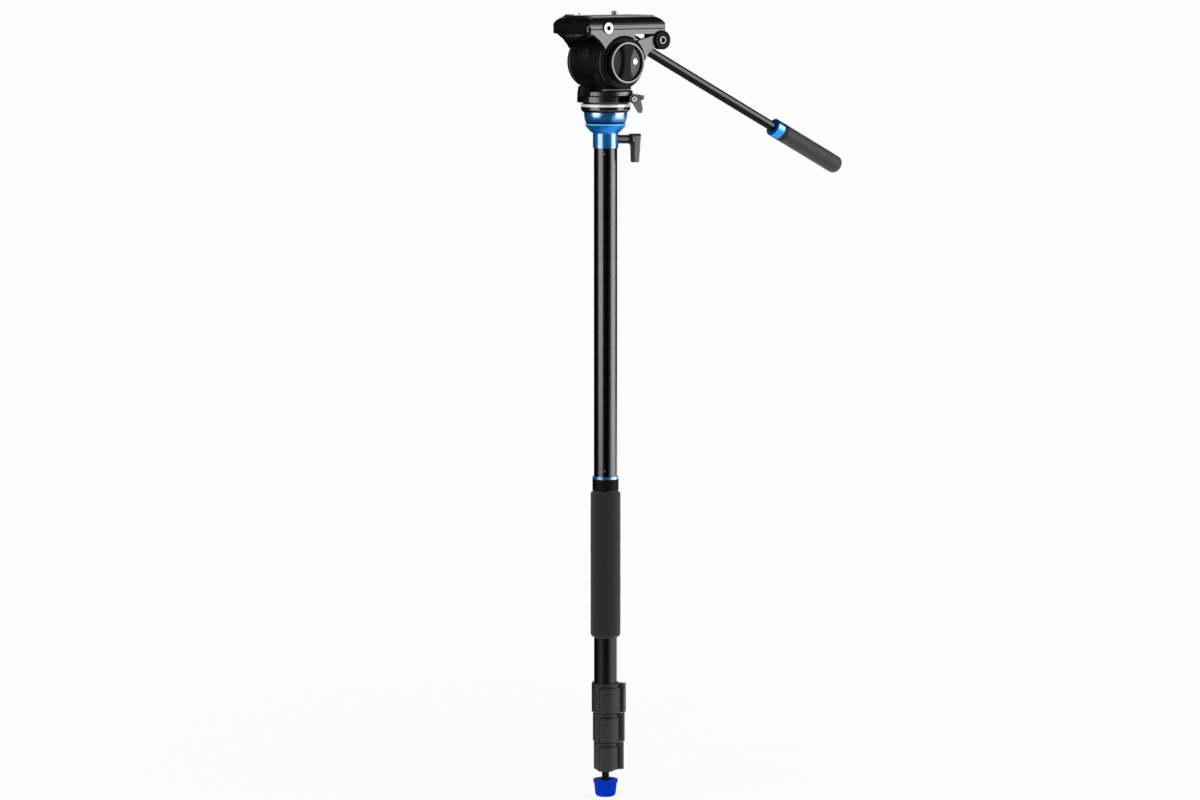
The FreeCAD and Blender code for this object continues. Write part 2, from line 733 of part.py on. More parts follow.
def pan_parts():
    """Pan housing with its drum, the spirit level and what the drum holds."""
    low = base_top + free_gap
    top = base_top + pan_height
    rim = base_top + pan_rim_height
    housing = turned([(0, low), (pan_radius - pan_foot_chamfer, low), (pan_radius, low + pan_foot_chamfer),
                      (pan_radius, rim - pan_rim_slope), (pan_step_radius, rim),
                      (pan_step_radius, top), (0, top)])
    housing = round_edges(housing, pan_rounding, at_height(top, pan_step_radius))
    neck = block(-neck_half_length, neck_half_length, -drum_half_width, drum_half_width, top - 1, tilt_axis)
    housing = housing.fuse(neck)
    housing = housing.fuse(across(drum_radius, 0, tilt_axis, -drum_half_width, drum_half_width))
    level_top = tilt_axis - level_boss_top
    boss_foot = V(-level_distance, 0, rim)
    boss = Part.makeCone(level_boss_radius, level_boss_top_radius, level_top - rim, boss_foot, Z)
    bridge = block(-level_distance, 0, -level_boss_top_radius, level_boss_top_radius, rim, level_top)
    housing = housing.fuse(boss).fuse(bridge)
    vial_low = level_top - level_vial_depth
    housing = housing.cut(cylinder(level_vial_radius + fit_gap, vial_low, level_top + 1, -level_distance))
    spindle_room = cylinder(spindle_radius + running_gap, low - 1, base_top + spindle_height + free_gap)
    spring_room = across(drum_cavity_radius, 0, tilt_axis, -drum_half_width - 1, drum_cavity_half_width)
    bushing_room = across(axle_radius + bushing_wall + fit_gap, 0, tilt_axis, 0, drum_half_width + 1)
    housing = housing.cut(spindle_room).cut(spring_room).cut(bushing_room)

    lug_face = pan_lever_front - pan_lever_hub_length - free_gap
    lug_reach = lug_face + pan_lug_root
    lug_start = V(-pan_lug_root, 0, 0)
    screw_room = along(pan_screw_radius + running_gap, lug_start, X, pan_lug_root + pan_lever_front)
    lug = along(pan_lever_hub_radius, lug_start, X, lug_reach)
    lug = lug.fuse(block(-pan_lug_root, lug_face, -pan_lug_flank, 0, -pan_lever_rise + free_gap,
                         pan_lever_hub_radius))
    pocket = along(pan_lever_hub_radius + pan_pocket_gap, V(lug_face, 0, 0), X, pan_radius)
    slot = block(lug_face, pan_radius, -pan_slot_width, 0, -pan_lever_rise + 2 * free_gap,
                 pan_lever_hub_radius - pan_pocket_gap)
    floor = block(-pan_radius, pan_radius, -2 * pan_radius, pan_radius, -2 * pan_lever_rise,
                  -pan_lever_rise + free_gap)
    housing = housing.fuse(pan_lever_frame(lug.cut(floor)))
    housing = housing.cut(pan_lever_frame(pocket.fuse(slot).cut(floor)))
    housing = housing.cut(pan_lever_frame(screw_room))

    angle = math.radians(drum_cap_angle)
    outwards = V(-math.cos(angle), 0, math.sin(angle))
    seat = V(0, 0, tilt_axis) + outwards * (drum_radius - drum_cap_depth)
    housing = housing.cut(along(drum_cap_radius + free_gap, seat, outwards, drum_radius))
    cap_length = drum_cap_depth + drum_cap_height
    dimple = seat + outwards * (cap_length - drum_cap_dimple_depth)
    cap = along(drum_cap_radius, seat, outwards, cap_length)
    cap = cap.cut(along(drum_cap_dimple_radius, dimple, outwards, cap_length))

    vial = cylinder(level_vial_radius, vial_low, level_top - level_vial_sink, -level_distance)
    axle_room = across(axle_radius + running_gap, 0, tilt_axis, -far, far)
    left_radius = drum_cavity_radius - fit_gap
    left_bushing = across(left_radius, 0, tilt_axis, -drum_half_width, -drum_cavity_half_width)
    left_bushing = left_bushing.cut(axle_room)
    right_bushing = across(axle_radius + bushing_wall, 0, tilt_axis, drum_cavity_half_width, drum_half_width)
    right_bushing = right_bushing.cut(axle_room)
    spring_half = drum_cavity_half_width
    spring = across(spring_outer_radius, 0, tilt_axis, -spring_half, spring_half)
    spring = spring.cut(across(spring_inner_radius, 0, tilt_axis, -far, far))
    return {"pan_housing": housing, "drum_front_cap": cap, "level_vial": vial,
            "tilt_bushings": Part.makeCompound([left_bushing, right_bushing]),
            "counterbalance_spring": spring}


def pan_lock_parts():
    """Winged lever and screw that clamp the pan movement."""
    front = pan_lever_front
    back = front - pan_lever_hub_length
    hub = along(pan_lever_hub_radius, V(back, 0, 0), X, pan_lever_hub_length)
    root_in = -pan_lever_hub_radius + fit_gap
    root_out = pan_lever_hub_radius + overlap
    outline = [(root_in, 0), (pan_lever_tip_in, -pan_lever_drop), (pan_lever_tip_out, -pan_lever_drop),
               (pan_lever_heel_out, -pan_lever_heel_drop), (root_out, 0)]
    wing_low = front - pan_lever_thickness
    wing = cross_section(outline, wing_low, front - running_gap)
    bevel = cross_section([(root_in - overlap, 0), (pan_lever_tip_in - overlap, -pan_lever_drop),
                           (pan_lever_tip_in + pan_lever_bevel, -pan_lever_drop),
                           (root_in + pan_lever_bevel, 0)], front - pan_lever_bevel, front + 1)
    spur_top = pan_lever_spur_half + overlap
    spur = block(back, front - pan_lever_spur_back, 0, pan_lever_spur, -overlap, spur_top)
    spur = round_edges(spur, pan_lever_bevel,
                       lambda e: abs(e.tangentAt(e.FirstParameter).x) > 0.9 and e.CenterOfMass.y > overlap)
    lever = hub.fuse(wing.cut(bevel)).fuse(spur)
    lever = lever.cut(along(pan_screw_radius + fit_gap, V(back - 1, 0, 0), X, pan_lever_hub_length + 2))
    seat = front - pan_screw_head_sink
    root = -pan_lug_root + overlap
    lever = lever.cut(along(pan_lever_cup_radius, V(seat, 0, 0), X, pan_lever_front))
    screw = along(pan_screw_radius, V(root, 0, 0), X, seat - root)
    screw = screw.fuse(along(pan_screw_head_radius, V(seat, 0, 0), X, pan_screw_head_height))
    socket_start = V(seat + pan_screw_head_height / 2, 0, 0)
    screw = screw.cut(along(pan_screw_socket_radius, socket_start, X, pan_lever_front))
    return {"pan_lock_lever": pan_lever_frame(lever.removeSplitter()),
            "pan_lock_screw": pan_lever_frame(screw)}


def rosette_face(side):
    """Ring of radial teeth on the outer face of a rosette at one side."""
    teeth = []
    for tooth in range(rosette_teeth):
        bar = block(bush_radius + rosette_tooth_margin, rosette_radius - running_gap,
                    -rosette_tooth_width / 2, rosette_tooth_width / 2, 0, rosette_tooth_height)
        bar.rotate(V(0, 0, 0), Z, 360.0 * tooth / rosette_teeth)
        teeth.append(bar)
    crown = teeth[0].multiFuse(teeth[1:])
    return laid_to_side(crown, rosette_x, side * (cheek_inner + rosette_depth), tilt_axis + rosette_z, side)


def cheek(side):
    """One side of the cradle: boss round the axle, front gusset and the arm to the rosette."""
    inner = side * cheek_inner
    outer = side * cradle_half_width
    low, high = min(inner, outer), max(inner, outer)
    root = cradle_under + overlap
    web = [(-cradle_front + jaw_rounding, root), (-gusset_bend_x, gusset_bend_z),
           (-gusset_foot_x, gusset_foot_z), (-gusset_heel_x, gusset_heel_z), (0, 0),
           (window_start, window_low), (window_start, root)]
    arm = [(0, 0), (window_start, window_low), (window_end, window_end_low), (rosette_x, root),
           (rosette_x, rosette_z), (arm_end_x, arm_end_z), (arm_bend_x, arm_bend_z),
           (boss_radius - overlap, 0)]
    plate = None
    for outline in (web, arm):
        piece = side_plate([(x, tilt_axis + z) for x, z in outline], low, high)
        plate = piece if plate is None else plate.fuse(piece)
    rounding_low, rounding_high = sorted((side * (cradle_half_width - boss_rounding), outer))
    plate = plate.cut(across(boss_radius, 0, tilt_axis, rounding_low, rounding_high))
    boss_low, boss_high = sorted((side * (drum_half_width + free_gap), outer))
    boss = across(boss_radius, 0, tilt_axis, boss_low, boss_high)
    boss = round_edges(boss, boss_rounding,
                       lambda e: isinstance(e.Curve, Part.Circle) and abs(e.Curve.Center.y - outer) < overlap)
    for step in range(groove_count):
        groove = drum_half_width + groove_start + step * groove_pitch
        low_y, high_y = sorted((side * groove, side * (groove + groove_width)))
        cutter = across(boss_radius + 1, 0, tilt_axis, low_y, high_y)
        boss = boss.cut(cutter.cut(across(boss_radius - groove_width, 0, tilt_axis, low_y - 1, high_y + 1)))
    rosette_low, rosette_high = sorted((inner, side * (cheek_inner + rosette_depth)))
    disc = across(rosette_radius, rosette_x, tilt_axis + rosette_z, rosette_low, rosette_high)
    return plate.fuse(boss).fuse(disc).fuse(rosette_face(side))


def cradle_parts():
    """Tilting cradle, its axle, the rosette bushes and the housing of the camera plate."""
    parting = tilt_axis + parting_height
    base = rounded_slab(-cradle_front, cradle_rear, -cradle_half_width, cradle_half_width, cradle_corner,
                        tilt_axis + cradle_under, parting)
    under = tilt_axis + cradle_under
    jaw_x = -cradle_front + jaw_rounding
    jaw_z = under + jaw_rounding
    jaw_corner = block(-cradle_front - 1, jaw_x, -far, far, under - 1, jaw_z)
    cradle = base.cut(jaw_corner.cut(across(jaw_rounding, jaw_x, jaw_z, -far, far)))
    for side in (-1, 1):
        cradle = cradle.fuse(cheek(side))
    cradle = cradle.cut(across(axle_radius + fit_gap, 0, tilt_axis, -far, far))
    cradle = cradle.cut(across(bush_radius + fit_gap, rosette_x, tilt_axis + rosette_z, -far, far))

    top = tilt_axis + housing_top
    side_outline = [(-cradle_front, parting)]
    side_outline += ellipse_corner(-cradle_front, top, housing_end_rounding, housing_height)
    side_outline += reversed(ellipse_corner(cradle_rear, top, housing_end_rounding, housing_height))
    side_outline.append((cradle_rear, parting))
    end_outline = ellipse_corner(-cradle_half_width, top, housing_side_rounding, housing_height)
    end_outline += reversed(ellipse_corner(cradle_half_width, top, housing_side_rounding, housing_height))
    side_outline = drop_repeats(side_outline)
    housing = side_plate(side_outline, -cradle_half_width - 1, cradle_half_width + 1)
    housing = housing.common(cross_section(drop_repeats(end_outline), -cradle_front - 1, cradle_rear + 1))
    plan = rounded_slab(-cradle_front, cradle_rear, -cradle_half_width, cradle_half_width, cradle_corner,
                        parting - 1, parting + 2 * housing_height)
    housing = housing.common(plan)
    channel_top = tilt_axis + housing_top + fit_gap
    channel = [(-channel_floor_half_width, tilt_axis + channel_floor), (-channel_top_half_width, channel_top),
               (channel_top_half_width, channel_top), (channel_floor_half_width, tilt_axis + channel_floor)]
    housing = housing.cut(cross_section(channel, -channel_front, cradle_rear + 1))

    side = cradle_half_width + 2
    seam_outer = rounded_slab(-cradle_front - 2, cradle_rear + 2, -side, side, cradle_corner,
                              parting - seam_width / 2, parting + seam_width / 2)
    seam_inner = rounded_slab(-cradle_front + seam_width, cradle_rear - seam_width,
                              -cradle_half_width + seam_width, cradle_half_width - seam_width,
                              cradle_corner, parting - 1, parting + 1)
    seam = seam_outer.cut(seam_inner)
    button_low = -cradle_half_width - 2
    button_high = -cradle_half_width - button_proud + button_length + button_travel + free_gap
    button_room = across(button_radius + free_gap, -button_x, tilt_axis + button_z, button_low, button_high)
    knob_face = cradle_half_width - spot_face
    knob_room = across(plate_knob_radius + free_gap, -button_x, tilt_axis + plate_knob_z, knob_face,
                       cradle_half_width + 3)
    screw_room = across(plate_screw_radius + running_gap, -button_x, tilt_axis + plate_knob_z, 0,
                        cradle_half_width + 1)
    cradle = cradle.cut(seam).cut(button_room).cut(knob_room)
    housing = housing.cut(seam).cut(button_room).cut(knob_room).cut(screw_room)

    axle = across(axle_radius, 0, tilt_axis, -cradle_half_width, cradle_half_width)
    axle = axle.cut(across(knob_stud_radius + fit_gap, 0, tilt_axis, -cradle_half_width - 1,
                           -cradle_half_width + knob_stud_length + free_gap))
    bushes = []
    bolt_room = across(handle_bolt_radius + running_gap, rosette_x, tilt_axis + rosette_z, -far, far)
    bush_ends = (cheek_inner + bush_inset, cheek_inner + rosette_depth + bush_proud)
    for side in (-1, 1):
        low, high = sorted(side * end for end in bush_ends)
        bushes.append(across(bush_radius, rosette_x, tilt_axis + rosette_z, low, high).cut(bolt_room))
    return {"tilt_cradle": cradle, "plate_housing": housing, "tilt_axle": axle,
            "rosette_bushes": Part.makeCompound(bushes)}


def drop_repeats(points):
    """Outline without points that repeat the one before or close on the first."""
    kept = []
    for point in points:
        if not kept or math.dist(point, kept[-1]) > 0.001:
            kept.append(point)
    if math.dist(kept[0], kept[-1]) < 0.001:
        kept.pop()
    return kept


def plate_parts():
    """Sliding camera plate with its screw and sprung pin, the release button and the plate lock knob."""
    slope = (channel_floor_half_width - channel_top_half_width) / (housing_top - channel_floor)
    low = channel_floor + free_gap
    low_half = channel_floor_half_width - slope * free_gap - free_gap
    top_half = low_half - slope * (plate_top - low)
    outline = [(-low_half, tilt_axis + low), (-top_half, tilt_axis + plate_top),
               (top_half, tilt_axis + plate_top), (low_half, tilt_axis + low)]
    plate_front = -channel_front + free_gap
    plate = cross_section(outline, plate_front, plate_front + plate_length)
    head_low = tilt_axis + low + overlap
    head_high = head_low + camera_screw_head_height
    above = tilt_axis + far
    plate = plate.cut(cylinder(camera_screw_radius + free_gap, tilt_axis, above, camera_screw_x))
    head_room = cylinder(camera_screw_head_radius + free_gap, tilt_axis, head_high + free_gap, camera_screw_x)
    plate = plate.cut(head_room)
    screw = cylinder(camera_screw_head_radius, head_low, head_high, camera_screw_x)
    thread_low = tilt_axis + plate_top
    screw = screw.fuse(cylinder(camera_screw_neck_radius, head_high, thread_low, camera_screw_x))
    thread_high = thread_low + camera_screw_stand
    screw = screw.fuse(cylinder(camera_screw_radius, thread_low, thread_high, camera_screw_x))
    slot = block(camera_screw_x - camera_screw_head_radius, camera_screw_x + camera_screw_head_radius,
                 -camera_screw_slot_width / 2, camera_screw_slot_width / 2, head_low - 1,
                 head_low + camera_screw_slot_width)
    screw = screw.cut(slot)
    flange_low = tilt_axis + low + video_pin_stand
    flange_high = flange_low + video_pin_flange_height
    plate = plate.cut(cylinder(video_pin_radius + running_gap, tilt_axis, above, -video_pin_x))
    room_radius = video_pin_flange_radius + free_gap
    plate = plate.cut(cylinder(room_radius, tilt_axis, flange_high + free_gap, -video_pin_x))
    pin = cylinder(video_pin_radius, flange_high, tilt_axis + plate_top + video_pin_stand, -video_pin_x)
    pin = pin.fuse(cylinder(video_pin_flange_radius, flange_low, flange_high, -video_pin_x))

    face = -cradle_half_width - button_proud
    button = across(button_radius, -button_x, tilt_axis + button_z, face, face + button_length)
    button = button.cut(across(button_dimple_radius, -button_x, tilt_axis + button_z, face - 1,
                               face + button_dimple_depth))

    knob = lobed_knob(plate_knob_radius, plate_knob_lobes, plate_knob_lobe_radius, free_gap,
                      plate_knob_height)
    screw_tip = low_half + 2 * free_gap - (cradle_half_width - spot_face)
    knob = knob.fuse(cylinder(plate_screw_radius, screw_tip, 1))
    knob = laid_to_side(knob, -button_x, cradle_half_width - spot_face, tilt_axis + plate_knob_z, 1)
    return {"camera_plate": plate, "camera_screw": screw, "video_pin": pin, "release_button": button,
            "plate_lock_knob": knob}


def tilt_knob_parts():
    """Round tilt knob with a grip bar across its dish, its silver ring and its inlaid disc."""
    high = -cradle_half_width - free_gap
    low = high - knob_thickness
    dish_floor = low + knob_dish_depth
    knob = across(knob_radius, 0, tilt_axis, low + knob_lip, high)
    inner = knob_ring_radius - knob_ring_wall
    dish = across(inner, 0, tilt_axis, low - 1, dish_floor)
    bar = block(-knob_bar_half_width, knob_bar_half_width, low - 1, dish_floor + 1,
                tilt_axis - knob_ring_radius, tilt_axis + knob_ring_radius)
    knob = knob.cut(dish.cut(bar))
    ring_high = low + knob_ring_height
    hollow = across(inner, 0, tilt_axis, low - 1, ring_high + 1)
    knob = knob.cut(across(knob_ring_radius, 0, tilt_axis, low, ring_high).cut(hollow))
    ring_piece = across(knob_ring_radius, 0, tilt_axis, low, ring_high).cut(hollow)
    stud = across(knob_stud_radius, 0, tilt_axis, high - 1, -cradle_half_width + knob_stud_length)
    knob = knob.fuse(stud)
    disc = across(knob_disc_radius, knob_disc_x, tilt_axis, dish_floor - knob_disc_height, dish_floor)
    return {"tilt_knob": knob, "tilt_knob_trim": Part.makeCompound([ring_piece, disc])}


def handle_frame(shape):
    """Put a shape drawn along +X from the rosette's centre at the pan bar's slope and place."""
    copy = shape.copy()
    copy.rotate(V(0, 0, 0), Y, handle_angle)
    copy.translate(V(rosette_x, 0, tilt_axis + rosette_z))
    return copy


def handle_parts():
    """Pan bar with its clamp, blue ring and foam grip, and the knob that clamps it."""
    hub_low = cheek_inner + rosette_depth + rosette_tooth_height + free_gap
    hub_high = hub_low + handle_hub_width
    plane = (hub_low + hub_high) / 2
    hub = across(rosette_radius, 0, 0, hub_low, hub_high)
    bar_start = V(handle_bar_start, plane, handle_offset)
    boss = along(handle_hub_width / 2 - running_gap, V(0, plane, handle_offset), X, handle_boss_end)
    clamp = hub.fuse(boss)
    bar_room = along(handle_bar_radius + fit_gap, bar_start, X, handle_boss_end)
    clamp = clamp.cut(bar_room).cut(across(handle_bolt_radius + running_gap, 0, 0, 0, hub_high + 1))
    bar_end = handle_grip_end - handle_tip_wall
    bar = along(handle_bar_radius, bar_start, X, bar_end - handle_bar_start)
    bar = bar.cut(along(handle_bar_radius - handle_bar_wall, bar_start - X, X, bar_end))
    ring_start = V(handle_ring_start, plane, handle_offset)
    accent = along(handle_grip_radius, ring_start, X, handle_ring_length)
    grip_start = V(handle_ring_start + handle_ring_length, plane, handle_offset)
    grip = along(handle_grip_radius, grip_start, X, handle_grip_end - grip_start.x)
    tip = handle_grip_end - fit_gap
    grip = round_edges(grip, handle_tip_rounding,
                       lambda e: isinstance(e.Curve, Part.Circle) and e.Curve.Center.x > tip)
    bar_hole = along(handle_bar_radius + fit_gap, bar_start, X, bar_end - handle_bar_start + fit_gap)
    knob = lobed_knob(handle_knob_radius, handle_knob_lobes, handle_knob_lobe_radius, 0, handle_knob_height)
    knob = laid_to_side(knob, 0, hub_high + free_gap, 0, 1)
    knob = knob.fuse(across(handle_bolt_radius, 0, 0, cheek_inner + handle_bolt_inset, hub_high + 1))
    return {"handle_clamp": handle_frame(clamp.removeSplitter()), "handle_bar": handle_frame(bar),
            "handle_ring": handle_frame(accent.cut(bar_hole)), "handle_knob": handle_frame(knob),
            "handle_grip": handle_frame(grip.cut(bar_hole))}


def build():
    """Every piece of the monopod, by name."""
    parts = {}
    for section in (foot_parts, leg_parts, grip_and_joint, column_parts, cup_parts, ball_lever_parts,
                    ball_parts, pan_parts, pan_lock_parts, cradle_parts, plate_parts, tilt_knob_parts,
                    handle_parts):
        parts.update(section())
    return parts


os.makedirs("parts", exist_ok=True)
pieces = build()
for name in sorted(pieces):
    shape = pieces[name]
    shape.exportStep("parts/%s.step" % name)
    box = shape.BoundBox
    print("%-24s solids %d valid %s volume %9.1f z %.1f to %.1f" % (
        name, len(shape.Solids), shape.isValid(), shape.Volume, box.ZMin, box.ZMax))
print(len(pieces), "nodes, total height", round(max(p.BoundBox.ZMax for p in pieces.values()), 1))
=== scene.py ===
import bpy
import bmesh
import json
import math
from mathutils import Matrix, Vector, noise


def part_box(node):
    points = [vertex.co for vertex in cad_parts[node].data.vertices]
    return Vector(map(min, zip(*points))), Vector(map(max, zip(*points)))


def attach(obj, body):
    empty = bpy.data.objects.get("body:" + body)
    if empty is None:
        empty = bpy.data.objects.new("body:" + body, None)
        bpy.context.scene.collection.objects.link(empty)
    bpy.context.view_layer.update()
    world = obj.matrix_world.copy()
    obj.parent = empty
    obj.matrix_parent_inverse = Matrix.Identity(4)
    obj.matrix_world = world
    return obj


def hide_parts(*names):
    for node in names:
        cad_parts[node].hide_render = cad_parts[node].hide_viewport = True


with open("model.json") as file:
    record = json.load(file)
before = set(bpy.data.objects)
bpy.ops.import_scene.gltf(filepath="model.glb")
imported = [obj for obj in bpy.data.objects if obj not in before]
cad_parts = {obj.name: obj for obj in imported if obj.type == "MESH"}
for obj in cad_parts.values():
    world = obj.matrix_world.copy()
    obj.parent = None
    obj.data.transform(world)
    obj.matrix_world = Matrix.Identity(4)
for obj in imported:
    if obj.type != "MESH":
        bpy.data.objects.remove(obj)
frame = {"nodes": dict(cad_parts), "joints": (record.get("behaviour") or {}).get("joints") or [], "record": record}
nodes = frame["nodes"]
scene = bpy.context.scene
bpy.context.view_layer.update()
joints = {joint["name"]: joint for joint in frame["joints"]}
MM = 0.001

# %% [markdown]
# Two joints say where the head is: the tilt joint lies on the tilt axle, and the handle joint on
# the rosette that carries the pan bar. The places could be typed in as numbers, but read from the
# frame they stay right if the CAD model changes. The pan bar slopes down from the rosette, and the
# picture is taken from the head's front left.
# %% Places on the head
tilt_centre = Vector(joints["tilt"]["pos_m"])
rosette_centre = Vector(joints["handle_swing"]["pos_m"])
AXLE_LINE = (0, 1, 0)
VIEW_AZIMUTH = math.radians(-37.0)
toward_camera = Vector((math.sin(VIEW_AZIMUTH), -math.cos(VIEW_AZIMUTH), 0))
to_the_right = Vector((math.cos(VIEW_AZIMUTH), math.sin(VIEW_AZIMUTH), 0))
HANDLE_SLOPE = math.radians(26.5)
BAR_OFFSET = 5.7 * MM
bar_low, bar_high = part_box("handle_bar")
bar_axis = Vector((math.cos(HANDLE_SLOPE), 0, -math.sin(HANDLE_SLOPE)))
bar_up = Vector((math.sin(HANDLE_SLOPE), 0, math.cos(HANDLE_SLOPE)))
bar_line = Vector((rosette_centre.x, (bar_low.y + bar_high.y) / 2, rosette_centre.z))
bar_line = bar_line + bar_up * BAR_OFFSET
print("tilt axle", tuple(round(v, 4) for v in tilt_centre))
print("rosette", tuple(round(v, 4) for v in rosette_centre))

# %% [markdown]
# A material is a small program made of nodes. Written as node calls it is hard to read, so a socket
# is wrapped in a class whose + - * / signs add Math nodes. below() and above() turn a measure into
# a mask that goes from 0 to 1 over a short, soft step.
# %% A socket that can be used in sums
SHARP_STEP = 0.15 * MM


class Wire:
    def __init__(self, finish, socket):
        self.finish = finish
        self.socket = socket

    def math(self, operation, other=0.0, swapped=False):
        first, second = (other, self) if swapped else (self, other)
        return self.finish.node("ShaderNodeMath", {"operation": operation}, {0: first, 1: second})

    def __add__(self, other):
        return self.math("ADD", other)

    def __sub__(self, other):
        return self.math("SUBTRACT", other)

    def __mul__(self, other):
        return self.math("MULTIPLY", other)

    def __truediv__(self, other):
        return self.math("DIVIDE", other)

    def __rsub__(self, other):
        return self.math("SUBTRACT", other, True)

    __radd__ = __add__
    __rmul__ = __mul__

    def clamped(self):
        return self.math("MAXIMUM", 0.0).math("MINIMUM", 1.0)

    def below(self, limit, soft=SHARP_STEP):
        return ((limit - self) / soft).clamped()

    def above(self, limit, soft=SHARP_STEP):
        return ((self - limit) / soft).clamped()


print("socket maths ready")

# %% [markdown]
# A finish is one material, with the slot of the record that it belongs to. Its node() method makes
# any node from a type, settings and inputs. The other methods are the few patterns that come back:
# noise, a mix of two colours, a distance from an axle, a skin over a part of the piece, and relief.
# Everything reads Object coordinates, so a pattern stays on its piece when a joint moves.
# %% A finish
class Finish:
    def __init__(self, name, slot, **numbers):
        self.slot = slot
        self.material = bpy.data.materials.new(name)
        self.material.use_nodes = True
        self.tree = self.material.node_tree
        self.shader = self.tree.nodes["Principled BSDF"]
        self.place = self.node("ShaderNodeTexCoord", {}, {}, "Object")
        self.set(**numbers)

    def node(self, kind, settings, inputs, output=0):
        made = self.tree.nodes.new(kind)
        for name, value in settings.items():
            if name == "stops":
                ramp = made.color_ramp
                for index, (spot, grey) in enumerate(value):
                    stop = ramp.elements[index] if index < 2 else ramp.elements.new(spot)
                    stop.position = spot
                    stop.color = (grey, grey, grey, 1)
            else:
                setattr(made, name, value)
        for name, value in inputs.items():
            if isinstance(value, Wire):
                self.tree.links.new(value.socket, made.inputs[name])
            else:
                made.inputs[name].default_value = value
        return Wire(self, made.outputs[output])

    def set(self, **numbers):
        for name, value in numbers.items():
            socket = self.shader.inputs[name.replace("_", " ")]
            if isinstance(value, Wire):
                self.tree.links.new(value.socket, socket)
            else:
                socket.default_value = value
        return self

    def noise(self, size, detail=3.0, place=None):
        inputs = {"Vector": place or self.place, "Scale": 1 / size, "Detail": detail}
        return self.node("ShaderNodeTexNoise", {}, inputs)

    def stretched(self, scale):
        inputs = {"Vector": self.place, "Scale": scale}
        return self.node("ShaderNodeMapping", {"vector_type": "POINT"}, inputs)

    def painted(self, colour, share, over):
        inputs = {0: share, 6: colour, 7: (*over, 1)}
        return self.node("ShaderNodeMix", {"data_type": "RGBA"}, inputs, 2)

    def between(self, share, low, high):
        return self.painted((*low, 1), share, high)

    def vector_math(self, operation, first, second, output=0):
        inputs = {0: first, 1: second}
        return self.node("ShaderNodeVectorMath", {"operation": operation}, inputs, output)

    def away_from(self, centre, axis):
        offset = self.vector_math("SUBTRACT", self.place, centre)
        across = self.vector_math("CROSS_PRODUCT", offset, axis)
        return self.node("ShaderNodeVectorMath", {"operation": "LENGTH"}, {0: across}, "Value")

    def reading(self, axis):
        return self.node("ShaderNodeSeparateXYZ", {}, {0: self.place}, axis)

    def along(self, direction):
        return self.vector_math("DOT_PRODUCT", self.place, direction, "Value")

    def covered(self, share, **numbers):
        inputs = {name.replace("_", " "): value for name, value in numbers.items()}
        skin = self.node("ShaderNodeBsdfPrincipled", {}, inputs)
        under = Wire(self, self.shader.outputs[0])
        both = self.node("ShaderNodeMixShader", {}, {0: share, 1: under, 2: skin})
        self.tree.links.new(both.socket, self.tree.nodes["Material Output"].inputs["Surface"])
        return self

    def relief(self, height, depth, strength=1.0, rounding=None):
        inputs = {"Height": height, "Distance": depth, "Strength": strength}
        if rounding:
            inputs["Normal"] = self.node("ShaderNodeBevel", {"samples": 4}, {"Radius": rounding})
        self.set(Normal=self.node("ShaderNodeBump", {}, inputs))
        return self


print("finishes ready")

# %% [markdown]
# The blue parts are turned aluminium with a bright anodised skin. A plain metal would do for a sky,
# but in a studio it goes black between the lamps. The dyed skin scatters a little of the light,
# which keeps it blue in the shade, so the metal is only four fifths metallic, and a hard clear coat
# gives the white glints. Lathe marks run round the pole: the noise is squeezed hard along Z.
# A painted highlight lightens the cup's rim, and painted shade darkens the ball just above it.
# %% Blue anodised metal
rim_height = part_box("leveling_cup")[1].z
SHADE_REACH = 6.5 * MM
RIM_HIGHLIGHT_DROP = 1.3 * MM
CONE_DROP = 9.5 * MM
JUST_OFF = 0.1 * MM


def blue_finish(name, coat_roughness, coat_ior, roughness, rim_highlight=0.0):
    made = Finish(name, "blue_anodised", Coat_Roughness=coat_roughness, Coat_IOR=coat_ior)
    lathe = made.noise(2.0 * MM, 4.0, made.stretched((0.05, 0.05, 6.0)))
    height = made.reading("Z")
    # Painted shade darkens the ball just above the cup's rim, and a painted highlight lightens the rim itself.
    painted_shade = height.above(rim_height - JUST_OFF) * height.below(rim_height + SHADE_REACH, 5 * MM)
    edge = height.above(rim_height - RIM_HIGHLIGHT_DROP, 0.6 * MM) * height.below(rim_height + JUST_OFF)
    edge = edge * rim_highlight
    dye_with_painted_light = made.between(made.noise(9 * MM, 2.0), (0.0, 0.29, 0.88), (0.0, 0.35, 0.98))
    dye_with_painted_light = made.painted(dye_with_painted_light, painted_shade * 0.85, (0.0, 0.04, 0.30))
    dye_with_painted_light = made.painted(dye_with_painted_light, edge * 0.7, (0.45, 0.88, 1.0))
    made.set(Base_Color=dye_with_painted_light, Metallic=0.80 - edge * 0.5, Roughness=lathe * 0.12 + roughness)
    return made.relief(lathe, 0.006 * MM, 0.5, 0.25 * MM)


blue = blue_finish("Blue anodised aluminium", 0.16, 3.7, 0.38, rim_highlight=1.0)
cup_height = blue.reading("Z")
cone = cup_height.below(rim_height) * cup_height.above(rim_height - CONE_DROP, 1 * MM)
blue.set(Coat_Weight=1.0 - cone * 0.95)
print(blue.material.name)
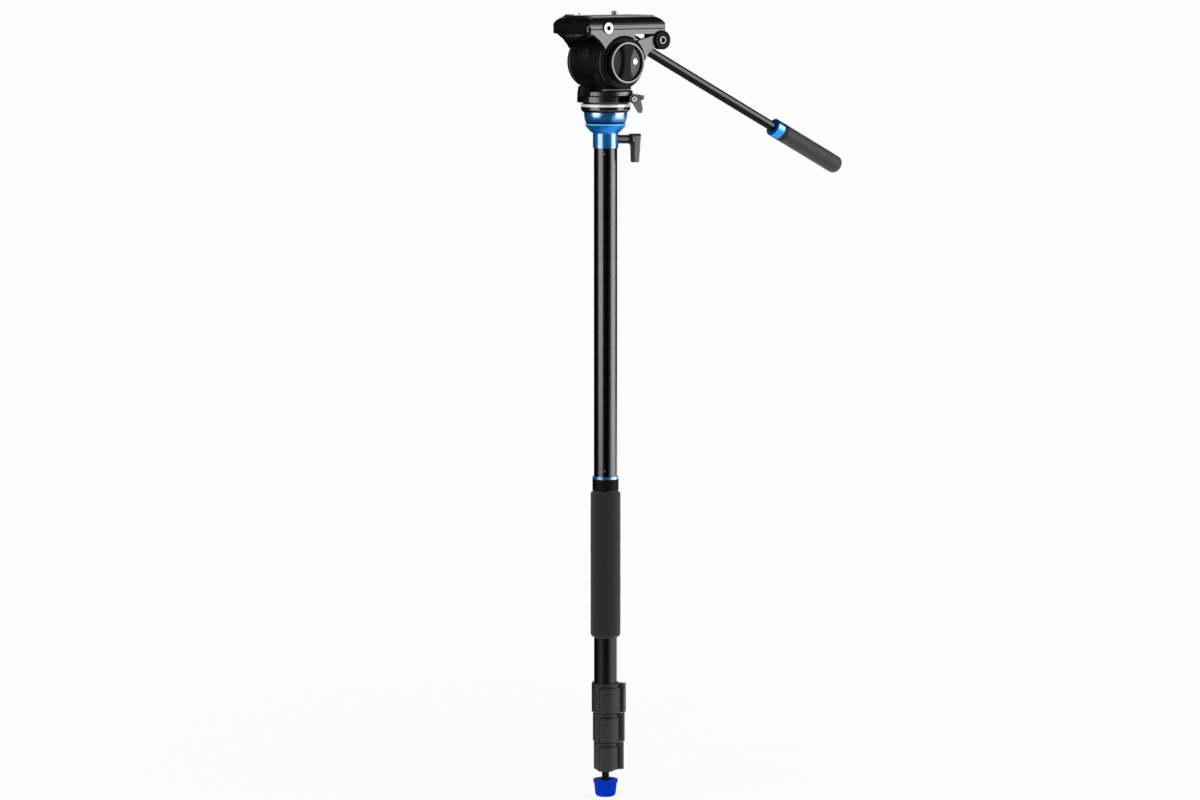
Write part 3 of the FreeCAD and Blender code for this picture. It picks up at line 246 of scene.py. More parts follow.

# %% [markdown]
# The half ball is blasted before it is dyed, so its glints are broader. Its coat begins a little above the rim,
# where the ball comes out of the painted shade above the cup. The ring on the pan bar shines mostly on its upper
# side. On the real bar the foam begins sooner than in the CAD model, so the ring's last millimetres are painted
# like the foam. A shorter ring would leave a gap there.
# %% Blue ball and blue ring
BALL_COAT_START = 3.0 * MM
blue_ball = blue_finish("Blue blasted ball", 0.22, 4.8, 0.27)
ball_coat = blue_ball.reading("Z").above(rim_height + BALL_COAT_START, 6 * MM)
blue_ball.set(Coat_Weight=ball_coat)
blue_ring = blue_finish("Blue ring on the pan bar", 0.14, 3.2, 0.25)
ring_top = blue_ring.along(bar_up).above(bar_line.dot(bar_up) - 1 * MM, 3 * MM)
blue_ring.set(Coat_Weight=ring_top * 0.9 + 0.1)
FOAM_EDGE = 251.5 * MM
foam_edge = blue_ring.along(bar_axis).above(bar_line.dot(bar_axis) + FOAM_EDGE, 0.3 * MM)
blue_ring.covered(foam_edge, Base_Color=(0.014, 0.0135, 0.015, 1), Roughness=0.5, IOR=1.3)
print(blue_ball.material.name, blue_ring.material.name)

# %% [markdown]
# The tubes are drawn aluminium with a black anodised skin: satin, with faint draw lines along the tube. A brushed
# look could come from an anisotropic shader, but that is lost when the materials are baked, so stretched noise
# does it. The column is the greyest, the leg tubes under the foam are darker, and the pan bar lies between the
# two, with painted shade darkening its underside.
# %% Black tubes
def tube_finish(name, dark, light, roughness):
    made = Finish(name, "black_tube", Metallic=1.0)
    drawn = made.noise(1.2 * MM, 3.0, made.stretched((3.0, 3.0, 0.04)))
    rub_stops = {"stops": ((0.55, 0.0), (0.80, 1.0))}
    worn = made.node("ShaderNodeValToRGB", rub_stops, {0: made.noise(14 * MM, 5.0)})
    made.set(Base_Color=made.between(worn * 0.5, dark, light))
    made.set(Roughness=drawn * 0.08 + roughness)
    return made.relief(drawn, 0.004 * MM, 0.4, 0.2 * MM)


tube = tube_finish("Black anodised column", (0.150, 0.150, 0.153), (0.170, 0.169, 0.172), 0.20)
leg_tube = tube_finish("Black anodised leg tube", (0.064, 0.063, 0.060), (0.078, 0.077, 0.073), 0.31)
bar_tube = tube_finish("Black anodised pan bar", (0.100, 0.090, 0.095), (0.118, 0.107, 0.112), 0.26)
# Painted shade: the pan bar's underside is darkened.
bar_painted_shade = bar_tube.along(bar_up).below(bar_line.dot(bar_up) - 0.3 * MM, 1.5 * MM)
bar_tube.covered(bar_painted_shade, Base_Color=(0.012, 0.012, 0.013, 1), Metallic=1.0, Roughness=0.35)
print(tube.material.name, leg_tube.material.name, bar_tube.material.name)

# %% [markdown]
# The head is cast and then painted: deep black under lacquer, with a very fine orange peel and slightly duller
# patches. The coat is a second, softer gloss on top of the paint's own. A thin line round each boss of the axle,
# just where the cheek begins, is a painted highlight on its lower part: the glint of the edge there. It is a mask
# in the finish, because a groove that fine would ask for many faces.
# %% Black casting
LINE_FROM, LINE_TO = 26.9 * MM, 27.6 * MM
LINE_INNER, LINE_OUTER = 27.4 * MM, 29.0 * MM
LINE_TOP = 14 * MM
casting = Finish("Black painted casting", "black_casting", IOR=2.08, Coat_Weight=0.6,
                 Coat_Roughness=0.25)
peel = casting.noise(0.45 * MM, 3.0)
dull = casting.noise(11 * MM, 4.0)
cast_height = casting.reading("Z")
half_width = casting.reading("Y").math("ABSOLUTE")
from_axle = casting.away_from(tilt_centre, AXLE_LINE)
# Painted highlight: a thin lighter line on the lower part of each axle boss's rim.
painted_edge_glint = from_axle.above(LINE_INNER) * half_width.above(LINE_FROM) * half_width.below(LINE_TO)
painted_edge_glint = painted_edge_glint * from_axle.below(LINE_OUTER) * cast_height.below(tilt_centre.z + LINE_TOP, 6 * MM)
paint = casting.between(dull, (0.0030, 0.0026, 0.0029), (0.0055, 0.0049, 0.0053))
casting.set(Base_Color=casting.painted(paint, painted_edge_glint, (0.17, 0.16, 0.17)))
casting.set(Roughness=dull * 0.10 + peel * 0.08 + 0.22)
casting.relief(peel, 0.03 * MM, 0.35, 0.45 * MM)
print(casting.material.name)

# %% [markdown]
# Some places of the casting get a matt, nearly black skin with little gloss, so that they stay black where the
# flat cheeks shine: the faces of the axle bosses, the rosettes' teeth, the neck under the drum, the seam round the
# plate housing and the boss of the spirit level. Each is a mask worked out from its distance to an axle or from
# its height, because the CAD solids have one material each and their meshes aren't cut.
# %% Places without gloss
SEAM_ABOVE_AXLE = 35.6 * MM
BOSS_REACH, BOSS_SIDE = 28.6 * MM, 29.5 * MM
TEETH_REACH, TEETH_SIDE = 10.6 * MM, 27.5 * MM
NECK_FOOT, NECK_TOP = 29.3 * MM, 18 * MM
LEVEL_REACH, LEVEL_TOP = 9.6 * MM, 14 * MM
seam_height = tilt_centre.z + SEAM_ABOVE_AXLE
seam = cast_height.above(seam_height - 0.7 * MM) * cast_height.below(seam_height + 0.6 * MM)
boss = from_axle.below(BOSS_REACH) * half_width.above(BOSS_SIDE)
from_rosette = casting.away_from(rosette_centre, AXLE_LINE)
teeth = from_rosette.below(TEETH_REACH) * half_width.above(TEETH_SIDE)
neck = cast_height.above(tilt_centre.z - NECK_FOOT)
neck = neck * cast_height.below(tilt_centre.z - NECK_TOP, 6 * MM)
level_low, level_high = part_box("level_vial")
level_place = (level_low + level_high) / 2
level_boss = casting.away_from(level_place, (0, 0, 1)).below(LEVEL_REACH)
level_boss = level_boss * cast_height.below(tilt_centre.z - LEVEL_TOP)
# These places get a matt, nearly black skin with little gloss.
glossless = (boss + teeth + neck + seam + level_boss).clamped()
casting.covered(glossless, Base_Color=(0.003, 0.0027, 0.003, 1), Roughness=0.5, IOR=1.25)
print("bare places at seam height", round(seam_height, 4))

# %% [markdown]
# The flip locks are glass-filled nylon. Their skin is spark-eroded: a matt grain of about 0.3 mm that catches the
# light in tiny specks, a shade lighter than the casting. The hinge side of each lock, towards the lamp on the
# right, is painted paler as painted light. The grain is bump, since real dents that small would need millions of
# faces.
# %% Charcoal nylon
HINGE_START = 19.5 * MM
LOCKS_TOP = 0.40
nylon = Finish("Charcoal glass-filled nylon", "charcoal_plastic", IOR=1.5)
spark = nylon.noise(0.3 * MM, 4.0)
flow = nylon.noise(7 * MM, 3.0)
skin = nylon.between(flow * 0.6 + spark * 0.4, (0.012, 0.0112, 0.0118), (0.026, 0.0242, 0.0252))
# Painted light: the hinge side of each lock, towards the right-hand lamp, is paler.
hinge_painted_light = nylon.along(to_the_right).above(HINGE_START, 1.5 * MM) * nylon.reading("Z").below(LOCKS_TOP)
nylon.set(Base_Color=nylon.painted(skin, hinge_painted_light * (0.4 + spark), (0.10, 0.094, 0.098)))
nylon.set(Roughness=spark * 0.2 + 0.42)
nylon.relief(spark, 0.05 * MM, 0.5, 0.4 * MM)
print(nylon.material.name)

# %% [markdown]
# Knobs and clamp bodies are moulded black plastic, smoother than the locks. Wear shows as a faint
# shine, so a slow noise moves both the colour and the roughness together.
# %% Black plastic
moulded = Finish("Moulded black plastic", "black_plastic", IOR=1.5)
grain = moulded.noise(0.25 * MM, 2.0)
rubbed = moulded.noise(5 * MM, 4.0)
moulded.set(Base_Color=moulded.between(rubbed, (0.010, 0.010, 0.011), (0.018, 0.017, 0.019)))
moulded.set(Roughness=rubbed * 0.2 + grain * 0.08 + 0.30)
moulded.relief(grain, 0.03 * MM, 0.4, 0.4 * MM)
print(moulded.material.name)

# %% [markdown]
# Foam sleeves are closed-cell rubber foam: nearly black, no gloss, with cells of half a millimetre
# that show as fine pits. Cells come from a Voronoi pattern, which divides space the way bubbles do;
# plain noise would look like cloth. The bar's foam is smoother than the leg's.
# %% Foam
def foam_finish(name, dark, light, roughness):
    made = Finish(name, "foam", IOR=1.45, Sheen_Weight=0.18, Sheen_Roughness=0.5)
    cell_inputs = {"Vector": made.place, "Scale": 1 / (0.55 * MM)}
    cells = made.node("ShaderNodeTexVoronoi", {"feature": "F1"}, cell_inputs)
    patches = made.noise(6 * MM, 4.0)
    made.set(Base_Color=made.between(cells * 0.35 + patches * 0.6, dark, light))
    made.set(Roughness=patches * 0.1 + roughness)
    return made.relief(cells * 0.7 + made.noise(0.3 * MM, 3.0) * 0.5, 0.12 * MM, 0.6)


leg_foam = foam_finish("Leg foam", (0.006, 0.0057, 0.0059), (0.013, 0.0124, 0.0127), 0.80)
bar_foam = foam_finish("Pan bar foam", (0.009, 0.0088, 0.0098), (0.020, 0.0194, 0.0218), 0.44)
print(leg_foam.material.name, bar_foam.material.name)

# %% [markdown]
# The other finishes are simple: a colour that drifts between two tones, a grain and its relief, and
# edges that the shader rounds a little so that they catch light. One helper makes them all, with
# the grain's size and depth given in millimetres.
# %% A simple finish
def simple_finish(name, slot, dark, light, roughness, grain, depth, **numbers):
    made = Finish(name, slot, **numbers)
    speck = made.noise(grain * MM, 3.0)
    drift = made.noise(8 * MM, 3.0)
    made.set(Base_Color=made.between(drift * 0.7 + speck * 0.3, dark, light))
    made.set(Roughness=speck * 0.10 + drift * 0.06 + roughness)
    return made.relief(speck, depth * MM, 0.4, 0.3 * MM)


print("simple finishes ready")

# %% [markdown]
# The blue rubber is matt and takes the light evenly, so it has next to no mirror of its own. The
# mount flange is glossy black, but its foot, close above the ball, is matt. One mask by height does
# that in the same material, because the flange is one solid. The collar on the leg's top shares the
# slot and lies below the mask's height, so it is matt as a whole.
# %% Blue rubber and gloss black
FLANGE_FOOT = 2.2 * MM
rubber = simple_finish("Blue rubber", "blue_rubber", (0.0, 0.024, 0.36), (0.0, 0.037, 0.46),
                       roughness=0.50, grain=0.4, depth=0.03, IOR=1.08)
gloss = simple_finish("Gloss black", "gloss_black", (0.004, 0.004, 0.005), (0.007, 0.007, 0.009),
                      roughness=0.12, grain=3, depth=0.002, IOR=1.9, Coat_Weight=1.0,
                      Coat_Roughness=0.05)
flange_foot = gloss.reading("Z").below(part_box("mount_flange")[0].z + FLANGE_FOOT)
gloss.covered(flange_foot, Base_Color=(0.004, 0.004, 0.004, 1), Roughness=0.5, IOR=1.2)
print(rubber.material.name, gloss.material.name)

# %% [markdown]
# The metals differ in tone and in how wide their glint is: polished chrome is tight, a turned ring
# broader, and steel under zinc broader and greyer. The trim ring of the tilt knob is darker than
# the other bare aluminium, so it has a finish of its own.
# %% Bare and plated metals
silver = simple_finish("Turned aluminium", "silver", (0.66, 0.66, 0.67), (0.80, 0.80, 0.81),
                       roughness=0.22, grain=0.5, depth=0.006, Metallic=1.0)
satin = simple_finish("Satin trim ring", "silver", (0.24, 0.235, 0.24), (0.32, 0.315, 0.32),
                      roughness=0.30, grain=0.5, depth=0.006, Metallic=1.0)
chrome = simple_finish("Chromed steel", "chrome", (0.70, 0.70, 0.71), (0.80, 0.80, 0.81),
                       roughness=0.14, grain=2, depth=0.003, Metallic=1.0)
steel = simple_finish("Zinc-plated steel", "steel", (0.42, 0.42, 0.44), (0.55, 0.55, 0.56),
                      roughness=0.25, grain=0.6, depth=0.01, Metallic=1.0)
black_steel = simple_finish("Blackened steel", "black_steel", (0.012, 0.012, 0.012),
                            (0.03, 0.03, 0.03), roughness=0.32, grain=0.5, depth=0.01, IOR=1.6)
print(silver.material.name, satin.material.name, chrome.material.name, steel.material.name)

# %% [markdown]
# The nylon and machined pieces are hidden inside, but whoever takes the part to pieces sees them, so
# they are finished as well. The level's fluid is a clear green. Real glass takes many samples to
# render, and a smooth green with a hard coat looks the same at that size.
# %% Hidden nylon, machined metal and level fluid
natural = simple_finish("Natural nylon", "nylon", (0.62, 0.61, 0.56), (0.72, 0.71, 0.66),
                        roughness=0.45, grain=0.5, depth=0.02, IOR=1.5)
insert = simple_finish("Machined aluminium", "steel_insert", (0.5, 0.5, 0.52), (0.62, 0.62, 0.64),
                       roughness=0.28, grain=0.6, depth=0.008, Metallic=1.0)
vial = simple_finish("Level fluid", "vial_glass", (0.10, 0.16, 0.015), (0.13, 0.19, 0.02),
                     roughness=0.04, grain=2, depth=0.001, IOR=1.5, Coat_Weight=1.0,
                     Coat_Roughness=0.02)
print(natural.material.name, insert.material.name, vial.material.name)

# %% [markdown]
# The camera plate has a rubber face with a black front end. Both are on one solid, so the front end
# is a skin over the first millimetres, measured from the plate's own box.
# %% Camera plate
PLATE_FRONT = 6 * MM
plate_pad = simple_finish("Plate rubber", "black_casting", (0.15, 0.115, 0.125),
                          (0.21, 0.165, 0.175), roughness=0.6, grain=0.5, depth=0.03, IOR=1.4)
plate_front = plate_pad.reading("X").below(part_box("camera_plate")[0].x + PLATE_FRONT)
plate_pad.covered(plate_front, Base_Color=(0.006, 0.005, 0.006, 1), Roughness=0.4)
print(plate_pad.material.name)

# %% [markdown]
# A bush, a washer and a button each show a dark hole or dimple in their middle. The holes could be cut into the
# solids, but at one or two millimetres a dark skin of painted shade, which stands for the hole's depth, reads the
# same and costs no faces.
# The bush has a dark rim as well, so only a bright ring is left of it.
# %% Bushes and pan lock washer
# Painted shade: a dark skin stands for the depth of each hole and dimple.
HOLE_SHADE = {"Base_Color": (0.004, 0.004, 0.004, 1), "Roughness": 0.6, "IOR": 1.2}
BUSH_HOLE, BUSH_RIM = 2.5 * MM, 3.9 * MM
WASHER_HOLE = 1.1 * MM
bush = simple_finish("Bush", "chrome", (0.36, 0.36, 0.37), (0.44, 0.44, 0.45), roughness=0.26,
                     grain=2, depth=0.003, Metallic=1.0)
from_bolt = bush.away_from(rosette_centre, AXLE_LINE)
bush.covered((from_bolt.below(BUSH_HOLE) + from_bolt.above(BUSH_RIM)).clamped(), **HOLE_SHADE)
washer_face = simple_finish("Plated washer", "chrome", (0.86, 0.84, 0.84), (0.94, 0.92, 0.92),
                            roughness=0.45, grain=0.5, depth=0.004, Metallic=0.5)
pan_lock = joints["pan_lock_turn"]
from_screw = washer_face.away_from(pan_lock["pos_m"], pan_lock["axis"])
washer_face.covered(from_screw.below(WASHER_HOLE), **HOLE_SHADE)
print(bush.material.name, washer_face.material.name)

# %% [markdown]
# The silver ring at the head's base is the palest metal of all: it is turned, then matted. The
# release button is shinier and has a dimple for the finger tip, done like the holes above.
# %% Base ring and release button
DIMPLE = 2.7 * MM
pale_ring = simple_finish("Matt turned aluminium", "silver", (0.90, 0.90, 0.90), (0.97, 0.97, 0.97),
                          roughness=0.48, grain=0.5, depth=0.006, Metallic=0.6)
button = simple_finish("Release button", "silver", (0.78, 0.78, 0.79), (0.86, 0.86, 0.87),
                       roughness=0.30, grain=0.5, depth=0.006, Metallic=1.0)
button_low, button_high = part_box("release_button")
from_middle = button.away_from((button_low + button_high) / 2, AXLE_LINE)
button.covered(from_middle.below(DIMPLE), **HOLE_SHADE)
print(pale_ring.material.name, button.material.name)

# %% [markdown]
# The foot's washer and stud are dead matt, with almost no mirror, so that they stay black against
# the white floor. The pan lock's lever is moulded too, but in a grey plastic much lighter than the
# knobs.
# %% Matt black and grey plastic
matt_black = simple_finish("Matt black", "black_steel", (0.004, 0.004, 0.004),
                           (0.009, 0.009, 0.009), roughness=0.75, grain=0.5, depth=0.02, IOR=1.2)
lever_face = simple_finish("Grey plastic", "black_plastic", (0.12, 0.108, 0.113),
                           (0.16, 0.145, 0.152), roughness=0.40, grain=0.4, depth=0.03, IOR=1.5)
print(matt_black.material.name, lever_face.material.name)

# %% [markdown]
# The lever that locks the ball has a ground steel shaft. Along the middle of its height, where its side faces the
# lamps, it carries a painted highlight, and above and below that it is black. A mask along its height, measured
# from the CAD shaft's own box, fades one into the other, and a fine noise breaks up the bright part like grinding
# marks.
# %% Ball lever's shaft
BLACK_TOP = 2.0 * MM
BLACK_FOOT = 2.4 * MM
shaft_grey = Finish("Ground steel", "black_steel", Metallic=0.35)
shaft_low, shaft_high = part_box("ball_lever_shaft")
shaft_height = shaft_grey.reading("Z")
# Painted highlight along the middle of the shaft's height.
painted_highlight_band = shaft_height.below(shaft_high.z - BLACK_TOP, 1.5 * MM)
painted_highlight_band = painted_highlight_band * shaft_height.above(shaft_low.z + BLACK_FOOT, 2.4 * MM)
scratch = shaft_grey.noise(0.5 * MM, 3.0)
shaft_tone = shaft_grey.between(painted_highlight_band * (scratch * 0.3 + 0.75), (0.012, 0.012, 0.013),
                                (0.25, 0.255, 0.27))
shaft_grey.set(Base_Color=shaft_tone, Roughness=scratch * 0.1 + 0.38)
shaft_grey.relief(scratch, 0.008 * MM, 0.4, 0.3 * MM)
print(shaft_grey.material.name)

# %% [markdown]
# The lever's plastic handle is bent, and right of the ridge that runs down it, on the side towards the lamp on the
# right, it is painted grey as painted light. The grey is a mask too: it starts at the middle of the handle's box
# and steps sideways above the elbow.
# %% Ball lever's handle
ELBOW_DROP = 9.0 * MM
ELBOW_STEP = 2.0 * MM
TIP_DROP = 1.4 * MM
ball_handle = Finish("Ball lever plastic", "black_plastic", IOR=1.45)
lever_low, lever_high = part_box("ball_lever_handle")
ridge = Vector(((lever_low.x + lever_high.x) / 2, (lever_low.y + lever_high.y) / 2, 0))
handle_height = ball_handle.reading("Z")
elbow = handle_height.above(lever_high.z - ELBOW_DROP, 1.5 * MM) * ELBOW_STEP
reach = ball_handle.along(to_the_right) + elbow
# Painted light: grey on the side right of the ridge.
painted_lit_side = reach.above(ridge.dot(to_the_right) + 0.3 * MM, 0.6 * MM)
painted_lit_side = painted_lit_side * handle_height.below(lever_high.z - TIP_DROP, 1.5 * MM)
speck = ball_handle.noise(0.4 * MM, 3.0)
handle_tone = ball_handle.between(painted_lit_side * (speck * 0.3 + 0.7), (0.006, 0.006, 0.006),
                                  (0.17, 0.16, 0.165))
ball_handle.set(Base_Color=handle_tone, Roughness=speck * 0.1 + 0.42)
ball_handle.relief(speck, 0.03 * MM, 0.4, 0.3 * MM)
print(ball_handle.material.name)

# %% [markdown]
# Every CAD node takes the finish of its material slot in the record, so that no node is left out.
# A table names the nodes whose real surface differs from the others of their slot.
# %% Dress the CAD nodes
finishes = {made.slot: made for made in (blue, tube, casting, nylon, moulded, leg_foam, rubber,
                                         gloss, silver, chrome, steel, black_steel, natural,
                                         insert, vial)}
special = {
    "release_button": button, "camera_plate": plate_pad, "handle_bar": bar_tube,
    "rosette_bushes": bush, "base_ring": pale_ring, "tilt_knob_trim": satin,
    "mount_flange": gloss, "pan_lock_screw": washer_face, "pan_lock_lever": lever_face,
    "foot_washer": matt_black, "foot_stud": matt_black, "ball_lever_shaft": shaft_grey,
    "ball_lever_handle": ball_handle, "half_ball": blue_ball, "handle_ring": blue_ring,
    "leg_tube_1": leg_tube, "leg_tube_2": leg_tube, "leg_tube_3": leg_tube,
    "leg_tube_4": leg_tube,
}
for row in frame["record"]["subparts"]:
    made = special.get(row["node"], finishes[row["material_slot"]])
    mesh = nodes[row["node"]].data
    mesh.materials.clear()
    mesh.materials.append(made.material)

# %% [markdown]
# Round pieces are made like a potter does: an outline is drawn beside the axis and spun round it.
# spun() takes (radius, height) points, rounded() draws a fillet for such an outline, and finished()
# welds the mesh, turns its faces outwards and hands it over as a piece that rides on a body of the
# frame. The place goes into the mesh and the object stays at the origin, as the export expects.
# %% Spin a round piece
SMOOTH_UP_TO = math.radians(35.0)
SAME_POINT = 0.001 * MM


def finished(bm, name, made, body, stands_for=()):
    bmesh.ops.remove_doubles(bm, verts=bm.verts, dist=SAME_POINT)
    bmesh.ops.recalc_face_normals(bm, faces=bm.faces)
    mesh = bpy.data.meshes.new(name)
    bm.to_mesh(mesh)
    bm.free()
    mesh.shade_smooth()
    mesh.set_sharp_from_angle(angle=SMOOTH_UP_TO)
    mesh.materials.append(made.material)
    piece = bpy.data.objects.new(name, mesh)
    scene.collection.objects.link(piece)
    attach(piece, body)
    if stands_for:
        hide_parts(*stands_for)
    print(name, len(mesh.polygons), "faces")
    return piece


def spun(outline, steps):
    bm = bmesh.new()
    verts = [bm.verts.new((radius, 0, height)) for radius, height in outline]
    edges = [bm.edges.new(pair) for pair in zip(verts, verts[1:])]
    if outline[0][0] > SAME_POINT:
        edges.append(bm.edges.new((verts[-1], verts[0])))
    bmesh.ops.spin(bm, geom=verts + edges, cent=(0, 0, 0), axis=(0, 0, 1), angle=2 * math.pi,
                   steps=steps, use_merge=True)
    bmesh.ops.remove_doubles(bm, verts=bm.verts, dist=SAME_POINT)
    return bm


def rounded(radius, centre_radius, centre_height, start, end, steps=8):
    points = []
    for step in range(steps + 1):
        angle = math.radians(start + (end - start) * step / steps)
        points.append((centre_radius + radius * math.cos(angle),
                       centre_height + radius * math.sin(angle)))
    return points


def stood_on(axis, origin):
    return Matrix.Translation(origin) @ Vector(axis).to_track_quat("Z", "Y").to_matrix().to_4x4()


print("spinning helpers ready")

# %% [markdown]
# The foam sleeve on the leg is a thick tube with softly rolled ends. Real foam is never dead
# straight: it swells and dips by a tenth or two of a millimetre. A Displace modifier could do that,
# but moving the spun points by a slow 3-D noise keeps the whole shape in the mesh.
# %% Foam grip
def softened(bm, amount, size, seed):
    for vert in bm.verts:
        spot = Vector((vert.co.x, vert.co.y, 0))
        if spot.length > SAME_POINT:
            push = noise.noise(vert.co / size + Vector((seed, 0, 0)))
            vert.co += spot.normalized() * push * amount


low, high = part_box("foam_grip")
outer = (high.x - low.x) / 2
SLEEVE_BORE = 12.55 * MM
ROLL = 4.0 * MM
SLEEVE_LEVELS = 60
straight = high.z - low.z - 2 * ROLL
outline = [(SLEEVE_BORE, low.z), (outer - ROLL, low.z)]
outline += rounded(ROLL, outer - ROLL, low.z + ROLL, -90, 0)
outline += [(outer, low.z + ROLL + straight * step / SLEEVE_LEVELS)
            for step in range(1, SLEEVE_LEVELS)]
outline += rounded(ROLL, outer - ROLL, high.z - ROLL, 0, 90)
outline.append((SLEEVE_BORE, high.z))
grip = spun(outline, steps=80)
softened(grip, amount=0.16 * MM, size=9 * MM, seed=3.0)
sleeve = finished(grip, "foam_sleeve", leg_foam, "pole", ("foam_grip",))

# %% [markdown]
# The pan bar's grip is smoother foam with a domed end. It is spun upright like the sleeve, as
# heights along the bar, and then one transform lays it on the bar's line. Spinning it round the
# slanted line at once would work too, but upright outlines are easier to read and to change.
# %% Pan bar grip
BAR_RADIUS = 5.45 * MM
GRIP_RADIUS = 10.15 * MM
GRIP_START = 256.7 * MM
GRIP_END = 348.9 * MM
HOLLOW_END = 345.1 * MM
LIP = 1.0 * MM
DOME = 7.0 * MM
GRIP_LEVELS = 30
straight = GRIP_END - DOME - GRIP_START - LIP
outline = [(0, HOLLOW_END), (BAR_RADIUS, HOLLOW_END), (BAR_RADIUS, GRIP_START),
           (GRIP_RADIUS - LIP, GRIP_START)]
outline += rounded(LIP, GRIP_RADIUS - LIP, GRIP_START + LIP, -90, 0, 4)
outline += [(GRIP_RADIUS, GRIP_START + LIP + straight * step / GRIP_LEVELS)
            for step in range(1, GRIP_LEVELS)]
outline += rounded(DOME, GRIP_RADIUS - DOME, GRIP_END - DOME, 0, 90, 10)
outline.append((0, GRIP_END))
grip = spun(outline, steps=64)
softened(grip, amount=0.10 * MM, size=7 * MM, seed=11.0)
bmesh.ops.transform(grip, matrix=stood_on(bar_axis, bar_line), verts=grip.verts)
bar_grip = finished(grip, "bar_foam", bar_foam, "handle", ("handle_grip",))

# %% [markdown]
# The tilt knob's plastic has a crackled texture on the floor of its dish, which is pale with wear. The floor's
# side towards the pan bar is painted paler still, as painted light. Walls and grip bar are smooth and black. The
# mask is the part of the knob that lies deep and near the axle.
# %% Knob plastic
FLOOR_FACE = -37.0 * MM
FLOOR_RADIUS = 18.7 * MM
knob_face = Finish("Tilt knob plastic", "black_plastic", IOR=1.2)
crackle = knob_face.noise(0.5 * MM, 4.0)
floor_zone = knob_face.reading("Y").above(FLOOR_FACE)
floor_zone = floor_zone * knob_face.away_from(tilt_centre, AXLE_LINE).below(FLOOR_RADIUS)
# Painted light: the side of the dish floor towards the pan bar is paler.
knob_painted_light = knob_face.reading("X").above(tilt_centre.x + 0.5 * MM, 1 * MM)
pale_and_lit = floor_zone * (crackle * 0.7 + 0.3) * (knob_painted_light * 0.8 + 0.2)
knob_face.set(Base_Color=knob_face.between(pale_and_lit, (0.004, 0.0038, 0.004), (0.20, 0.195, 0.20)))
knob_face.set(Roughness=floor_zone * 0.15 + crackle * 0.08 + 0.26)
knob_face.relief(crackle * (floor_zone + 0.15), 0.12 * MM, 0.6, 0.3 * MM)
print(knob_face.material.name)

# %% [markdown]
# The knob is a shallow dish with a broken edge at its back. It is spun flat, with Z along the axle.
# Its grip bar and stud are added to the same mesh in the next cells, and only then is the whole
# knob turned on to the head's left side.
# %% Dish of the tilt knob
KNOB_RADIUS = 21.6 * MM
KNOB_CHAMFER = 1.0 * MM
DISH_RADIUS = 19.7 * MM
KNOB_BACK = 33.3 * MM
KNOB_LIP = 37.5 * MM
DISH_FLOOR = 36.3 * MM
LIP_RISE = 0.2 * MM
FLOOR_BEVEL = 0.6 * MM
outline = [(0, KNOB_BACK), (KNOB_RADIUS - KNOB_CHAMFER, KNOB_BACK),
           (KNOB_RADIUS, KNOB_BACK + KNOB_CHAMFER), (KNOB_RADIUS, KNOB_LIP),
           (DISH_RADIUS + LIP_RISE, KNOB_LIP), (DISH_RADIUS, KNOB_LIP + LIP_RISE),
           (DISH_RADIUS, DISH_FLOOR + FLOOR_BEVEL), (DISH_RADIUS - FLOOR_BEVEL, DISH_FLOOR),
           (0, DISH_FLOOR)]
knob = spun(outline, steps=96)
print("dish", len(knob.faces), "faces")

# %% [markdown]
# The grip bar across the dish is narrow in the middle, where finger and thumb hold it, and widens
# to the rim, whose circle rounds off its ends. A boolean of boxes would leave hard steps, so
# sections are drawn one above the other up the dish, in millimetres, and bridged into one skin. The
# bar leans a little from its lower to its upper end, and its top sags in the middle.
# %% Grip bar of the tilt knob
BAR_HALF, BAR_WAIST, BAR_FLARE, BAR_WALL = 19.4, 5.6, 5.2, 19.55
BAR_FOOT, BAR_TOP, BAR_SAG, BAR_LEAN = 36.0, 39.9, 0.5, 0.6
BAR_STEPS = 40
sections = []
for step in range(BAR_STEPS + 1):
    height = -BAR_HALF + 2 * BAR_HALF * step / BAR_STEPS
    share = height / BAR_HALF
    grip_half = min(BAR_WAIST + BAR_FLARE * abs(share) ** 2.0,
                    math.sqrt(BAR_WALL ** 2 - height ** 2))
    lean = -BAR_LEAN + 2 * BAR_LEAN * math.sin(share * math.pi / 2)
    top = BAR_TOP - BAR_SAG * (1 - share ** 2)
    left_half = [(-1.0, BAR_FOOT), (-1.0, top - 1.6), (-0.93, top - 0.6), (-0.78, top - 0.1),
                 (-0.4, top)]
    profile = left_half + [(0.0, top - 0.2)] + [(-across, out) for across, out in left_half[::-1]]
    verts = [knob.verts.new(((lean + across * grip_half) * MM, height * MM, out * MM))
             for across, out in profile]
    sections.append([knob.edges.new(pair) for pair in zip(verts, verts[1:] + verts[:1])])
for first, second in zip(sections, sections[1:]):
    bmesh.ops.bridge_loops(knob, edges=first + second)
bmesh.ops.edgeloop_fill(knob, edges=sections[0] + sections[-1])
print("dish and bar", len(knob.faces), "faces")

# %% [markdown]
# A plain stud behind the dish reaches into the boss, like the CAD knob's own. One matrix turns the
# finished knob: its Z, which was the axle, becomes -Y, the head's left side.
# %% Tilt knob on its axle
STUD_RADIUS = 2.9 * MM
STUD_LENGTH = 10.0 * MM
STUD_MIDDLE = 29.0 * MM
left_side = Matrix(((1, 0, 0, tilt_centre.x), (0, 0, -1, 0), (0, 1, 0, tilt_centre.z),
                    (0, 0, 0, 1)))
stud = bmesh.ops.create_cone(knob, cap_ends=True, segments=32, radius1=STUD_RADIUS,
                             radius2=STUD_RADIUS, depth=STUD_LENGTH)
bmesh.ops.translate(knob, verts=stud["verts"], vec=(0, 0, STUD_MIDDLE))
bmesh.ops.transform(knob, matrix=left_side, verts=knob.verts)
finished(knob, "tilt_knob_body", knob_face, "tilt_knob", ("tilt_knob",))

